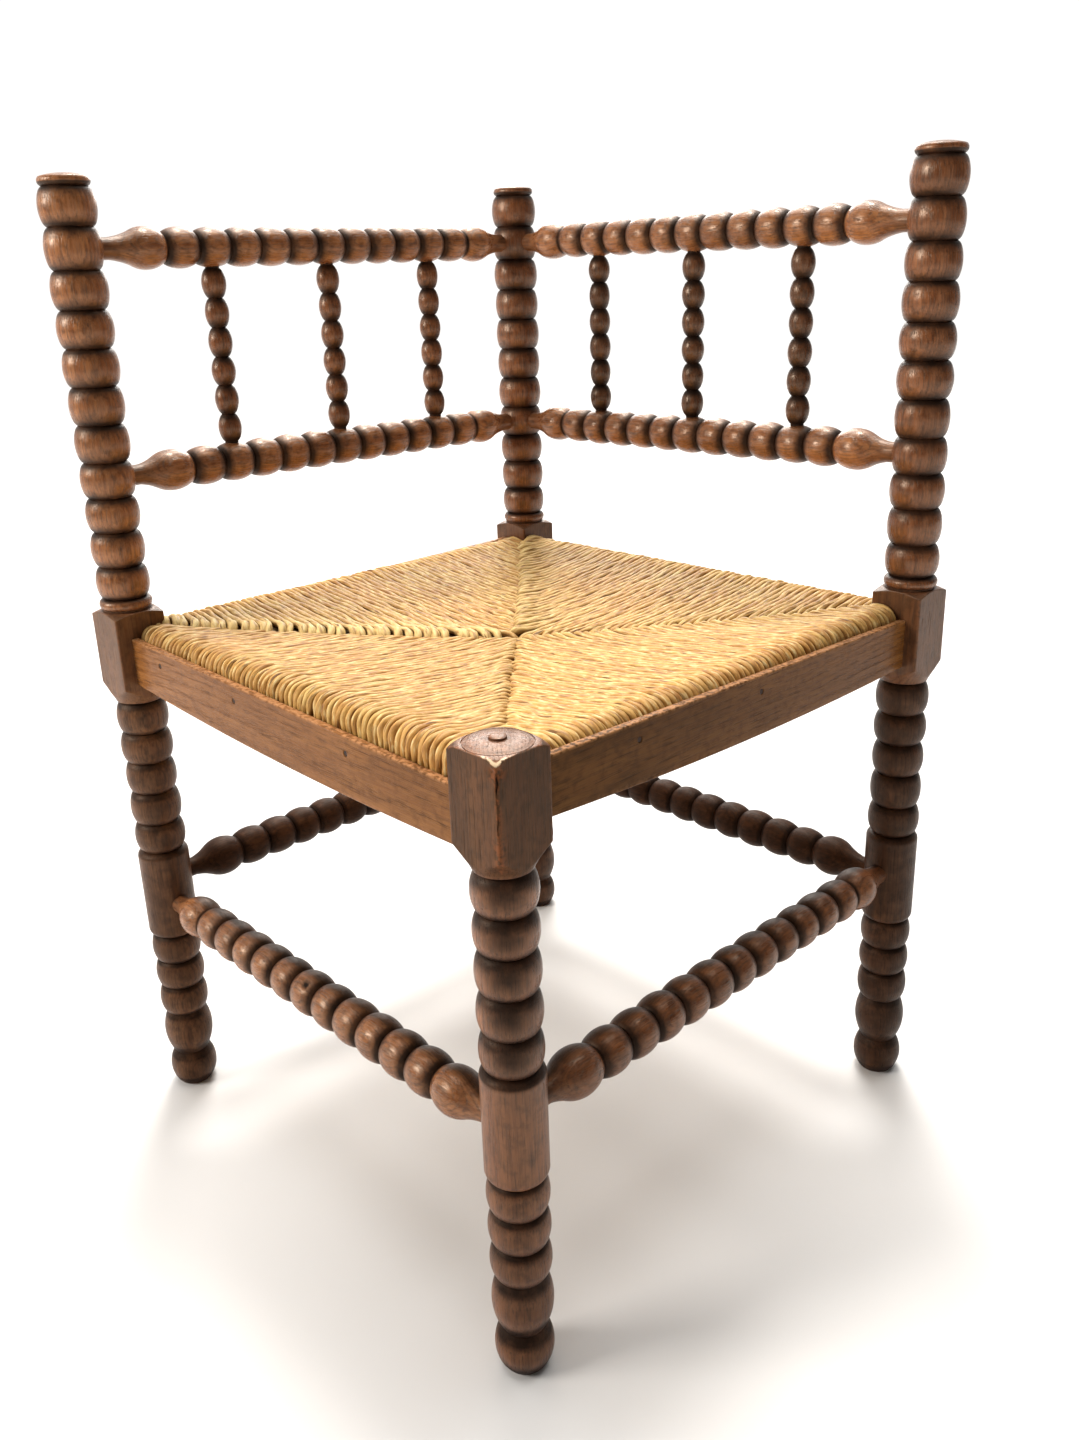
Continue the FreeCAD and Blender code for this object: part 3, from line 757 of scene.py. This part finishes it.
def dress_post(name, number):
    """Builds one post from its profile, in place."""
    rng = np.random.default_rng(seeds["post"] + number)
    front = name == "front"
    bearing, tones, leg_grime_and_shade, block_dry, figure = post_looks[name]
    profile = front_profile(rng) if front else tall_profile(rng)
    angles, z, radius, in_block = post_surface(profile, rng)
    # Side of the front post towards the sitter, where the painted shade reaches lower on the beads
    near_shade = bell(from_near_edge(angles), 20) * front
    finish = post_finish(z, radius, profile, in_block, leg_grime_and_shade, block_dry, near_shade)
    if front:
        radius = dress_front_block(angles, z, radius, profile, finish)
    dents = [(rng.uniform(0, 6.28), rng.uniform(60, z.max() - 20), rng.uniform(1.2, 2.6),
              rng.uniform(0.15, 0.5)) for _ in range(dent_count)]
    radius = radius - spots(angles, z, dents)
    x, y = post_places[name]
    points = np.stack([x + radius * np.cos(angles), y + radius * np.sin(angles), z + 0 * radius], -1)
    bearing = math.radians(bearing)
    pith = (x * MM + heart_distance * math.cos(bearing), y * MM + heart_distance * math.sin(bearing))
    material = oak("oak_post_" + name, "z", pith, tones, figure)
    build_piece("turned_post_" + name, [points], [finish], material, "post_" + name)


for number, name in enumerate(post_names):
    dress_post(name, number)

# %% [markdown]
# ## Rails, stretchers and spindles
#
# These are the same beads on thinner sticks. The frame says where each one's middle line is, so a profile
# is laid along that line. The ends run into the posts, as the real necks do.

# %% Lay a turning along an axis
def along(axis, middle, profile, sides, rng):
    """Points of a turning with profile (r, place along the axis) about a line through middle."""
    angles = even_angles(sides)
    r, t = profile[:, :1], profile[:, 1:]
    r = r * (1 + 0.006 * np.sin(2 * angles + rng.uniform(0, 6)))
    ring = [r * np.cos(angles), r * np.sin(angles), t + 0 * angles]
    order = {"x": (2, 0, 1), "y": (1, 2, 0), "z": (0, 1, 2)}[axis]
    return np.stack([ring[k] for k in order], -1) + np.asarray(middle)


def turned_finish(profile, sides, radius, groove, dryness, bead_end):
    """Dirt and painted shade in the grooves of a thin turning, over an even dryness, the same all round.

    Past bead_end the profile thins to its neck, where a little painted shade lies near the joint with the
    post."""
    dirt_and_shade = groove_dirt(profile[:, :1], radius, groove)
    past = np.abs(profile[:, 1:]) - bead_end
    # Painted shade on the neck where the rail runs into the post
    dirt_and_shade = np.where(past > 2.5, 0.55 * unit((past - 20) / 30), dirt_and_shade) + np.zeros((1, sides))
    return np.stack([dirt_and_shade, np.full_like(dirt_and_shade, dryness), np.zeros_like(dirt_and_shade)], -1)


def inner_grime(axis, middle, sides, share, start=70):
    """Painted shade of the seat on the upper inner side of a level turning: none below start degrees and full
    22 further.

    The angle is counted from the outer side over the top to the inner side, and past that it is full."""
    angles = even_angles(sides)
    up, level = (np.sin(angles), np.cos(angles)) if axis == "x" else (np.cos(angles), np.sin(angles))
    outer = np.sign(middle[1] if axis == "x" else middle[0])
    over_top = np.degrees(np.arctan2(up, outer * level))
    over_top = np.where(over_top < -100, 180, over_top)
    return share * unit((over_top - start) / 22)[None, :]


def add_knot(points, finish, middle, axis, knot):
    """Presses a small dark knot hole into a turning, at (place along, angle round, size) of knot."""
    place, angle, size = knot
    cos, sin = math.cos(angle), math.sin(angle)
    across = np.array({"x": (0, cos, sin), "y": (sin, 0, cos)}[axis])
    offset = points - middle
    t = offset @ np.eye(3)["xyz".index(axis)]
    outward = offset @ across
    beside = ((offset - np.multiply.outer(outward, across)) ** 2).sum(-1)
    away = np.sqrt((t - place) ** 2 + beside - t ** 2)
    dent = bell(away, size, 4) * (outward > 0.5 * outward.max())
    finish[..., 0] = np.maximum(finish[..., 0], 1.3 * dent)
    return points - 1.5 * dent[..., None] * across


# %% Rails and stretchers
rail_sides = 48
neck_sunk = 14
knots = {"stretcher_front_left": (4.0, math.radians(122), 3.2)}


def vase_half(radius, vase):
    """One end of a rail outwards from its last bead: a pear-shaped vase that tapers to the neck."""
    vase_end, neck_end = rail_run + vase, rail_run + rail_vase + rail_taper
    flank = (rail_neck + 0.62 * (radius - rail_neck), vase_end)
    taper = (rail_neck + 0.22 * (radius - rail_neck), (vase_end + neck_end) / 2)
    return np.concatenate([
        arc((radius - rail_groove_depth, rail_run), (radius, rail_run + 0.42 * vase), flank, 18),
        arc(flank, taper, (rail_neck, neck_end), 9),
        straight((rail_neck, neck_end), (rail_neck, half_span - neck_sunk), 8),
    ])


def rail_profile(radius, near_vase, far_vase, rng):
    """Neck, cove, vase, eleven beads, vase, cove and neck, as (r, place) from end to end."""
    beads = bead_chain(-rail_run, [rail_pitch] * rail_beads, radius, radius - rail_groove_depth, rng, 0.25)
    return joined([vase_half(radius, near_vase)[::-1] * (1, -1), beads, vase_half(radius, far_vase)])


def dress_rail(node_name, number, tones, dryness, upper_shade, grime_and_shade):
    """Turned rail in its place. The vases differ a little, and so does the side the tree's heart lies on."""
    rng = np.random.default_rng(seeds["rail"] + number)
    low, high = box_of(node_name)
    axis = "xyz"[int(np.argmax(high - low))]
    middle = (low + high) / 2
    radius = float(np.sort(high - low)[0]) / 2
    near_vase, far_vase = rail_vase + rng.uniform(-2, 3, 2)
    profile = rail_profile(radius, near_vase, far_vase, rng)
    points = along(axis, middle, profile, rail_sides, rng)
    finish = turned_finish(profile, rail_sides, radius, radius - rail_groove_depth, dryness, rail_run)
    # Painted shade of the seat on the upper inner side, and an even darkening that on the back stretchers is
    # painted shade under the seat
    dirt_and_shade = np.maximum(finish[..., 0], inner_grime(axis, middle, rail_sides, upper_shade))
    finish[..., 0] = np.maximum(dirt_and_shade, grime_and_shade)
    if node_name in knots:
        points = add_knot(points, finish, middle, axis, knots[node_name])
    upwards, outwards = 0.010 + rng.uniform(0, 0.012), 0.045
    towards = (upwards, outwards) if axis == "y" else (-outwards, upwards)
    pith = [middle[k] * MM + step for k, step in zip(grain_order[axis], towards)]
    material = oak("oak_" + node_name, axis, pith, tones, gloss=0.62 - 0.6 * grime_and_shade)
    build_piece("turned_" + node_name, [points], [finish], material, node_name)


# Tones, dryness, painted shade of the seat on the upper inner side, and an even darkening that on the back
# stretchers is painted shade under the seat, as are their dark umber tones
rail_looks = {"stretcher_front_left": (warm, 0.08, 0.95, 0.0),
              "stretcher_front_right": (ruddy, 0.1, 0.97, 0.1),
              "stretcher_back_right": (umber, 0.1, 0.6, 0.8),
              "stretcher_back_left": (umber, 0.1, 0.6, 0.75)}
rails = ["stretcher_" + side for side in side_names]
rails += [kind + side for kind in ("lower_rail_", "top_rail_") for side in side_names[2:]]
for number, name in enumerate(rails):
    dress_rail(name, number, *rail_looks.get(name, (warm, 0.0, 0.0, 0.0)))

# %% Spindles
spindle_sides = 32


def dress_spindle(node_name, number):
    """Six beads between the rails, with plain ends that run into them."""
    rng = np.random.default_rng(seeds["spindle"] + number)
    low, high = box_of(node_name)
    x, y = (low + high)[:2] / 2
    side = node_name[len("spindle_"):-2]
    foot = box_of("lower_rail_" + side)[1][2]
    head = box_of("top_rail_" + side)[0][2]
    lengths = [(head - foot) / spindle_beads] * spindle_beads
    profile = joined([straight((spindle_groove, low[2]), (spindle_groove, foot), 4),
                      bead_chain(foot, lengths, spindle_radius, spindle_groove, rng, 0.15),
                      straight((spindle_groove, head), (spindle_groove, high[2]), 4)])
    points = along("z", (x, y, 0), profile, spindle_sides, rng)
    finish = turned_finish(profile, spindle_sides, spindle_radius, spindle_groove, 0.1, high[2])
    pith = (x * MM + 0.03, y * MM - 0.035 - 0.004 * number)
    material = oak("oak_" + node_name, "z", pith, ruddy if "left" in node_name else umber)
    build_piece("turned_" + node_name, [points], [finish], material, node_name)


spindles = ["spindle_" + side + "_" + str(k) for side in side_names[2:] for k in (1, 2, 3)]
for number, name in enumerate(spindles):
    dress_spindle(name, number)

# %% [markdown]
# ## Rush
#
# A rush seat is one long cord, twisted by hand and carried over each rail in turn. On top it shows as four
# triangles whose cords run square to their rails and dive under at the diagonals. A flat sheet with a
# woven picture never shows the rolled edge or the dark gaps, so each visible pass is its own tube here: a
# twisted section carried along a path over the dished top, round the rail and back underneath.

# %% Path of one pass of cord
seat_low, seat_high = box_of("rush_seat")
rush_face = float(seat_high[0])
rush_crest, rush_bottom = float(seat_high[2]), float(seat_low[2])
cord_radius, cord_pitch, cord_sides = 2.85, 5.45, 10
roll_radius = 12.0
crest_width = 205.5
dish_middle, dish_half_way = 19.0, 12.0
lay_length = 34.0
top_spacing = 3.0
fine_step, coarse_step = 2.1, 4.5


def top_height(w):
    """Height of the seat's top at distance w from its middle.

    It is the parabola through the heights a in the middle, b half way out and c at the crest."""
    a, b, c = rush_crest - dish_middle, rush_crest - dish_half_way, rush_crest
    u = unit(w / crest_width)
    return a * (1 - u) * (1 - 2 * u) + 4 * b * u * (1 - u) + c * u * (2 * u - 1)


def pass_line(inner_top, inner_bottom):
    """Middle line (w, z) of a pass: out over the top from inner_top, round the rail, back to inner_bottom.

    It comes with the number of the point where the underside starts."""
    r = roll_radius - cord_radius
    edge = rush_face - cord_radius - r

    def quarter(height, angles):
        return np.stack([edge + r * np.cos(angles), height + r * np.sin(angles)], -1)

    top_w = np.arange(inner_top, edge, top_spacing)
    top = np.stack([top_w, top_height(top_w) - cord_radius], -1)
    turn = np.linspace(math.pi / 2, 0, 9)
    upper = quarter(rush_crest - cord_radius - r, turn)
    lower = quarter(rush_bottom + cord_radius + r, -turn[::-1])
    bottom_w = np.arange(edge - top_spacing, inner_bottom, -top_spacing)
    sag = 2.0 * unit(1 - bottom_w / crest_width)
    bottom = np.stack([bottom_w, rush_bottom + cord_radius + sag], -1)
    return np.concatenate([top, upper, lower, bottom]), len(top) + len(upper) + len(lower)


def resampled(line, change):
    """The same line at fine even steps up to its change-th point, and at coarse steps on the underside."""
    lengths = np.concatenate([[0], np.cumsum(np.linalg.norm(np.diff(line, axis=0), axis=1))])
    turned, whole = lengths[change - 1], lengths[-1]
    fine = np.linspace(0, turned, int(turned / fine_step) + 2)
    coarse = np.linspace(turned, whole, int((whole - turned) / coarse_step) + 2)[1:]
    run = np.concatenate([fine, coarse])
    return np.stack([np.interp(run, lengths, line[:, k]) for k in (0, 1)], -1), run


def waves(run, rng, shortest=4.0, longest=12.0):
    """Two sine waves of random length and phase along the run, together between -1 and 1."""
    first, second = rng.uniform(shortest, longest, 2)
    a, b = rng.uniform(0, 6.28, 2)
    return 0.6 * np.sin(run / first + a) + 0.4 * np.sin(run / second + b)


# %% One pass of cord
def cord_pass(s, over, look, rng, sway):
    """Tube (rings, sides, 3) of the pass at place s along its rail, as (along, out, up), and its finish.

    The section is an ellipse with two soft lobes that turn once in each lay length, which is how a cord of
    two twisted leaves looks. over runs from -1, for a pass that sinks under its neighbour at the diagonal,
    to 1, for one that crosses it as a raised tooth, bends square to the diagonal and dives at its tip. A
    pass lies flat in the open seat and round on the roll. look holds how much darker the panel's roll is,
    how dark the painted shade in its gaps is, by how much less on the roll, and its tone. The finish is
    tone, paleness and gap, the last being painted shade at the sides and underside of the cord and where it
    dives, with the darker roll."""
    roll_darkening, gap_shade_depth, roll_ease, panel_tone = look
    tooth = max(over, 0)
    reach_top = max(abs(s) - 1.0 + 6.0 * tooth + rng.normal(0, 1.5 - 0.7 * tooth), 1.5)
    reach_bottom = max(abs(s), 2.0)
    line, run = resampled(*pass_line(reach_top, reach_bottom))
    w, z = line[:, 0], line[:, 1]
    on_top = run < run[np.argmax(w)]
    ahead = np.where(on_top, w - reach_top, w - reach_bottom)
    dive = unit(1 - ahead / (7.0 - 3.0 * tooth)) ** 2
    ridge = (2.4 if over > 0 else 1.0) * over * bell(ahead - 8 * tooth, 10 + 3 * tooth)
    z = z - np.where(on_top, 2.0 + 2.0 * tooth, -3.0) * dive + np.where(on_top, ridge, 0)
    z = z + 0.35 * waves(run, rng) * on_top
    tangent = np.gradient(np.stack([w, z], -1), axis=0)
    tangent /= np.linalg.norm(tangent, axis=1, keepdims=True)
    normal = np.stack([-tangent[:, 1], tangent[:, 0]], -1)
    bend = np.sign(s) * 12.0 * tooth * np.exp(-ahead / 13) * on_top * (1 + 0.15 * rng.normal())
    centre_s = s + bend + sway(s, w) + 0.9 * waves(run, rng)

    phi = even_angles(cord_sides)
    turn = 2 * math.pi * run / lay_length + rng.uniform(0, 6)
    lobe = np.cos(2 * (phi[None, :] - turn[:, None]))
    flat = unit((ahead - 10) / 25) * unit((crest_width - w) / 18)
    swell = (0.36 * tooth - 0.03) * bell(ahead, 14)
    thick = (1 + 0.12 * waves(run, rng)) * (1 + swell) * (1 - (0.35 - 0.2 * tooth) * dive)
    radius = (cord_radius * rng.uniform(0.90, 1.05) * thick)[:, None]
    radius = radius * (1 + 0.08 * lobe * (1 - 0.7 * flat[:, None]))
    wide = 0.2 * tooth * bell(ahead, 12) * on_top
    across = radius * (1 + 0.15 * flat + wide)[:, None] * np.cos(phi)
    up = radius * (1 - 0.35 * flat[:, None]) * np.sin(phi)
    points = np.stack([centre_s[:, None] + across,
                       w[:, None] + up * normal[:, :1],
                       z[:, None] + up * normal[:, 1:]], -1)

    on_roll = unit((w - crest_width) / 10)[:, None] * (0.6 + 0.6 * waves(run, rng, 5, 15)[:, None])
    # Painted shade in the gaps: the sides and underside of each cord, more where it dives, and the darker
    # roll
    gap_shade = (gap_shade_depth - roll_ease * on_roll) * unit(1 - np.sin(phi))[None, :] ** 2.4
    gap_shade = unit(gap_shade + 0.2 * dive[:, None] + roll_darkening * unit(on_roll))
    tone = 0.5 + panel_tone + 0.3 * waves(run, rng, 6, 20)[:, None] + 0 * gap_shade + rng.uniform(-0.18, 0.18)
    pale = np.exp(-ahead / 26.0)[:, None] * on_top[:, None] * (0.2 + 0.8 * tooth) + 0 * gap_shade
    return points, np.stack([unit(tone), unit(pale), gap_shade], -1)


# %% [markdown]
# ## Rush finish
#
# Dry rush is straw gold with fine ribs along the leaf, paler and greener where light never reached it. The
# gaps between cords are painted shade, brown at the sides and underside of each cord and in dark slits, and
# the light streaks of the ribs are painted glints. The ribs must follow the cord, so they read the tube's own
# UV map, and each pass gets its own tone from the attribute.

# %% Rush material
def rush_material():
    rush = new_material("dry_rush")
    tone, pale, gap_shade = rush.finish()
    ribs = rush.noise(rush.here("UV"), 1.0, stretch=(85.0, 480.0, 1))
    slit_shade = rush.noise(rush.here("UV"), 1.0, 1.0, stretch=(48.0, 560.0, 1))
    patch = rush.noise(rush.here(), 70.0, 4.0, 0.6)
    field = rush.noise(rush.here(), 12.0, 2.0)
    tone = rush.plus(rush.times(tone, 0.5), rush.times(patch, 0.5))
    colour = rush.ramp(tone, (0.25, (0.40, 0.188, 0.043)), (0.42, (0.50, 0.272, 0.072)),
                       (0.60, (0.57, 0.345, 0.10)), (0.78, (0.63, 0.44, 0.16)))
    for factor, tint in (
        (rush.ramp(field, (0.42, 0.0), (0.66, 0.55)), (0.58, 0.29, 0.080, 1)),
        (rush.times(pale, 0.75), (0.75, 0.57, 0.24, 1)),
        # Dark streaks of the ribs: painted shade of the fine gaps between cords
        (rush.ramp(ribs, (0.35, 0.7), (0.49, 0.0)), (0.25, 0.105, 0.025, 1)),
        # Light streaks of the ribs: painted glints
        (rush.ramp(ribs, (0.54, 0.0), (0.67, 0.75)), (0.76, 0.61, 0.30, 1)),
        # Dark slits along the cords: painted shade
        (rush.ramp(slit_shade, (0.64, 0.0), (0.70, 0.85)), (0.13, 0.050, 0.013, 1)),
        # Painted shade in the gaps between cords and where a cord dives, with the darker roll
        (rush.times(gap_shade, 0.88), (0.13, 0.046, 0.012, 1)),
    ):
        colour = rush.mix(factor, colour, tint)
    return rush.close({"Base Color": colour, "Roughness": rush.plus(rush.times(ribs, 0.25), 0.42),
                       "Normal": rush.bump(ribs, 0.5, 0.0003), "Specular IOR Level": 0.22})


# %% Weave the four panels
panel_half = half_span - half_stock - cord_radius - 0.2
end_over = [0.15, 0.25, 0.6, 1.0]
# Per panel: darker roll, depth of the painted shade in its gaps, how much less on the roll, tone
panel_looks = [(0.10, 0.70, 0.2, -0.06), (0.26, 0.62, 0.42, -0.1),
               (0.22, 0.58, 0.2, 0.0), (0.22, 0.55, 0.2, -0.04)]


def panel_sway(rng):
    """Slow sideways drift that neighbouring cords share, in millimetres."""
    a, b, c = rng.uniform(0, 6, 3)

    def sway(s, w):
        drift = 1.1 * np.sin(w / 46 + s / 70 + a) + 0.6 * np.sin(w / 21 - s / 33 + b)
        return drift * unit((panel_half - abs(s)) / 25) * unit((crest_width + 8 - w) / 30)
    return sway


def quarter_turned(points, turns):
    """Points turned about Z by quarter turns: (x, y) becomes (-y, x) each time."""
    for _ in range(turns):
        points = np.stack([-points[..., 1], points[..., 0], points[..., 2]], -1)
    return points


def weave_panel(number, material):
    """All passes over one rail. At its end each panel lies over the next one, by its share in end_over, and
    at its start it sinks under the one before by that one's share."""
    rng = np.random.default_rng(seeds["rush"] + number)
    sway = panel_sway(rng)
    count = int(2 * panel_half / cord_pitch) + 1
    tubes, finishes = [], []
    for s in np.linspace(-panel_half, panel_half, count):
        over = end_over[number] if s > 0 else -end_over[number - 1]
        points, finish = cord_pass(s + rng.normal(0, 0.25), over, panel_looks[number], rng, sway)
        tubes.append(quarter_turned(points * (1, -1, 1), number))
        finishes.append(finish)
    name = "rush_panel_" + side_names[number]
    build_piece(name, tubes, finishes, material, "rush_seat", 75.0)


rush = rush_material()
for number in range(4):
    weave_panel(number, rush)

# %% [markdown]
# ## Edge strips
#
# Each strip is a thin sawn board nailed over the rush, with a straight top edge that slopes and a lower
# edge with a shallow belly. A box with a bevel would do for the board, but the nails were driven below
# the face and left a dark pit each. So the board is a section carried along the side, with rows close
# together at the depth of the nails, where the pits are pressed in.

# %% Strip boards
strip_tops = [(425.0, 413.0), (430.5, 423.5)] * 2
strip_nails = [(-156.0, -49.0, 85.0), (-113.0, 12.0)] * 2
# Dryness at the two ends of each strip; towards the front post the front strips darken, which is painted
# shade
strip_dryness_and_shade = [(0.0, 0.35), (0.9, 0.0), (0.3, 0.3), (0.3, 0.3)]
strip_depth, strip_belly, strip_round = 38.0, 5.5, 0.9
nail_drop = 12.0
pit_depth, pit_radius, pit_reach = 1.25, 2.1, 3.2
strip_half = half_span - half_stock - 0.3
strip_back, strip_face = 223.8, 230.0


def strip_columns(nails):
    """Places along the board: even steps, and close steps round each nail."""
    close = [x + np.linspace(-3, 3, 17) for x in nails]
    return np.unique(np.concatenate([np.linspace(-strip_half, strip_half, 81), *close]).round(3))


def strip_section():
    """Rows (share, drop, out) round the board, from the top edge down the face and up the back.

    The height of a row is top - share (top - bottom) + drop. The edges are quarter circles."""
    r = strip_round
    q = np.linspace(0, math.pi / 2, 4)
    sin, cos = r * np.sin(q), r * np.cos(q)
    rows = [(0, -r + cos, strip_face - r + sin),
            (0, -np.linspace(2, 7.5, 4), strip_face),
            (0, -np.linspace(nail_drop - pit_reach, nail_drop + pit_reach, 13), strip_face),
            (np.array([0.5, 0.6, 0.7, 0.8, 0.9]), 0, strip_face),
            (1, r - sin, strip_face - r + cos),
            (1, r - cos, strip_back + r - sin),
            (0, -r + sin, strip_back + r - cos)]
    return np.concatenate([np.stack(np.broadcast_arrays(*row), -1) for row in rows])


def dress_strip(side, number, material):
    """One board with its sloping top, belly, pits and worn edges, turned to its side of the seat."""
    rng = np.random.default_rng(seeds["strip"] + number)
    start, end = strip_tops[number]
    x = strip_columns(strip_nails[number])
    top = start + (end - start) * (x + strip_half) / (2 * strip_half)
    belly = strip_depth + strip_belly * (1 - (x / strip_half) ** 2)
    share, drop, out = strip_section().T
    z = top[:, None] - share * belly[:, None] + drop
    on_face = out > strip_face - 0.01
    pit = np.zeros_like(z)
    for nail in strip_nails[number]:
        height = np.interp(nail, x, top) - nail_drop
        away = np.hypot(x[:, None] - nail, z - height)
        pit += unit(1 - (away / pit_radius) ** 6) * on_face
    wave = 0.12 * np.sin(x / 37 + rng.uniform(0, 6)) + 0.08 * np.sin(x / 11 + rng.uniform(0, 6))
    w = out + 0 * z - pit_depth * pit + np.minimum(wave, 0)[:, None] * on_face
    points = np.stack([x[:, None] + 0 * z, -w, z], -1)
    edge = 0.8 * unit(1 + drop / 1.8) * (share == 0) + 0.15 * unit((share - 0.97) / 0.03)
    # The dark dry tone darkens the front strips towards the front post: painted shade
    dry = np.interp(x, (-strip_half, strip_half), strip_dryness_and_shade[number])[:, None] + 0 * z
    finish = np.stack([unit(pit * 1.2), dry, edge + 0 * z], -1)
    tube = quarter_turned(points, number)
    build_piece("edge_strip_" + side, [tube], [finish], material, "seat_strip_" + side)


sawn = ((0.120, 0.042, 0.011, 1), (0.240, 0.094, 0.027, 1), (0.320, 0.136, 0.042, 1))
# A darker copy of sawn for the strips along y, chiefly the front-right one away from the window: painted
# shade
sawn_shaded = ((0.086, 0.030, 0.008, 1), (0.195, 0.077, 0.021, 1), (0.270, 0.115, 0.033, 1))
board_worn = (0.44, 0.21, 0.09, 1)
strip_looks = {"x": ((0.05, 0.33), sawn), "y": ((0.33, 0.05), sawn_shaded)}
for number, (side, axis) in enumerate(zip(side_names, side_axes)):
    dress_strip(side, number, oak("oak_strip_" + side, axis, *strip_looks[axis], 0.3, board_worn, 0.12))

# %% [markdown]
# ## Pieces kept from the frame
#
# The nails, the hidden seat rails and the packing already have their true shape, so only their finish is
# new. Iron gets a dark, uneven skin, and the hidden oak is plain sawn wood.

# %% Finish of the kept pieces
def iron_material():
    iron = new_material("nail_iron")
    rust = iron.noise(iron.here(), 900.0, 4.0)
    colour = iron.ramp(rust, (0.35, (0.012, 0.010, 0.009)), (0.7, (0.07, 0.032, 0.018)))
    rough = iron.plus(iron.times(rust, 0.4), 0.4)
    return iron.close({"Base Color": colour, "Roughness": rough, "Metallic": 0.6})


def packing_material():
    packing = new_material("dry_packing")
    straw = packing.noise(packing.here(), 90.0, 4.0, stretch=(1, 6, 6))
    colour = packing.ramp(straw, (0.3, (0.10, 0.055, 0.02)), (0.7, (0.30, 0.19, 0.08)))
    return packing.close({"Base Color": colour, "Roughness": 0.9})


def give(node_name, material):
    """Puts a material in every slot of a node of the frame."""
    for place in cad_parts[node_name].material_slots:
        place.material = material


give("strip_nails", iron_material())
give("rush_packing", packing_material())
for side, axis in zip(side_names, side_axes):
    give("seat_rail_" + side, oak("oak_seat_rail_" + side, axis, (0.05, 0.36), sawn))
print("kept nodes with a new finish", 2 + len(side_names))
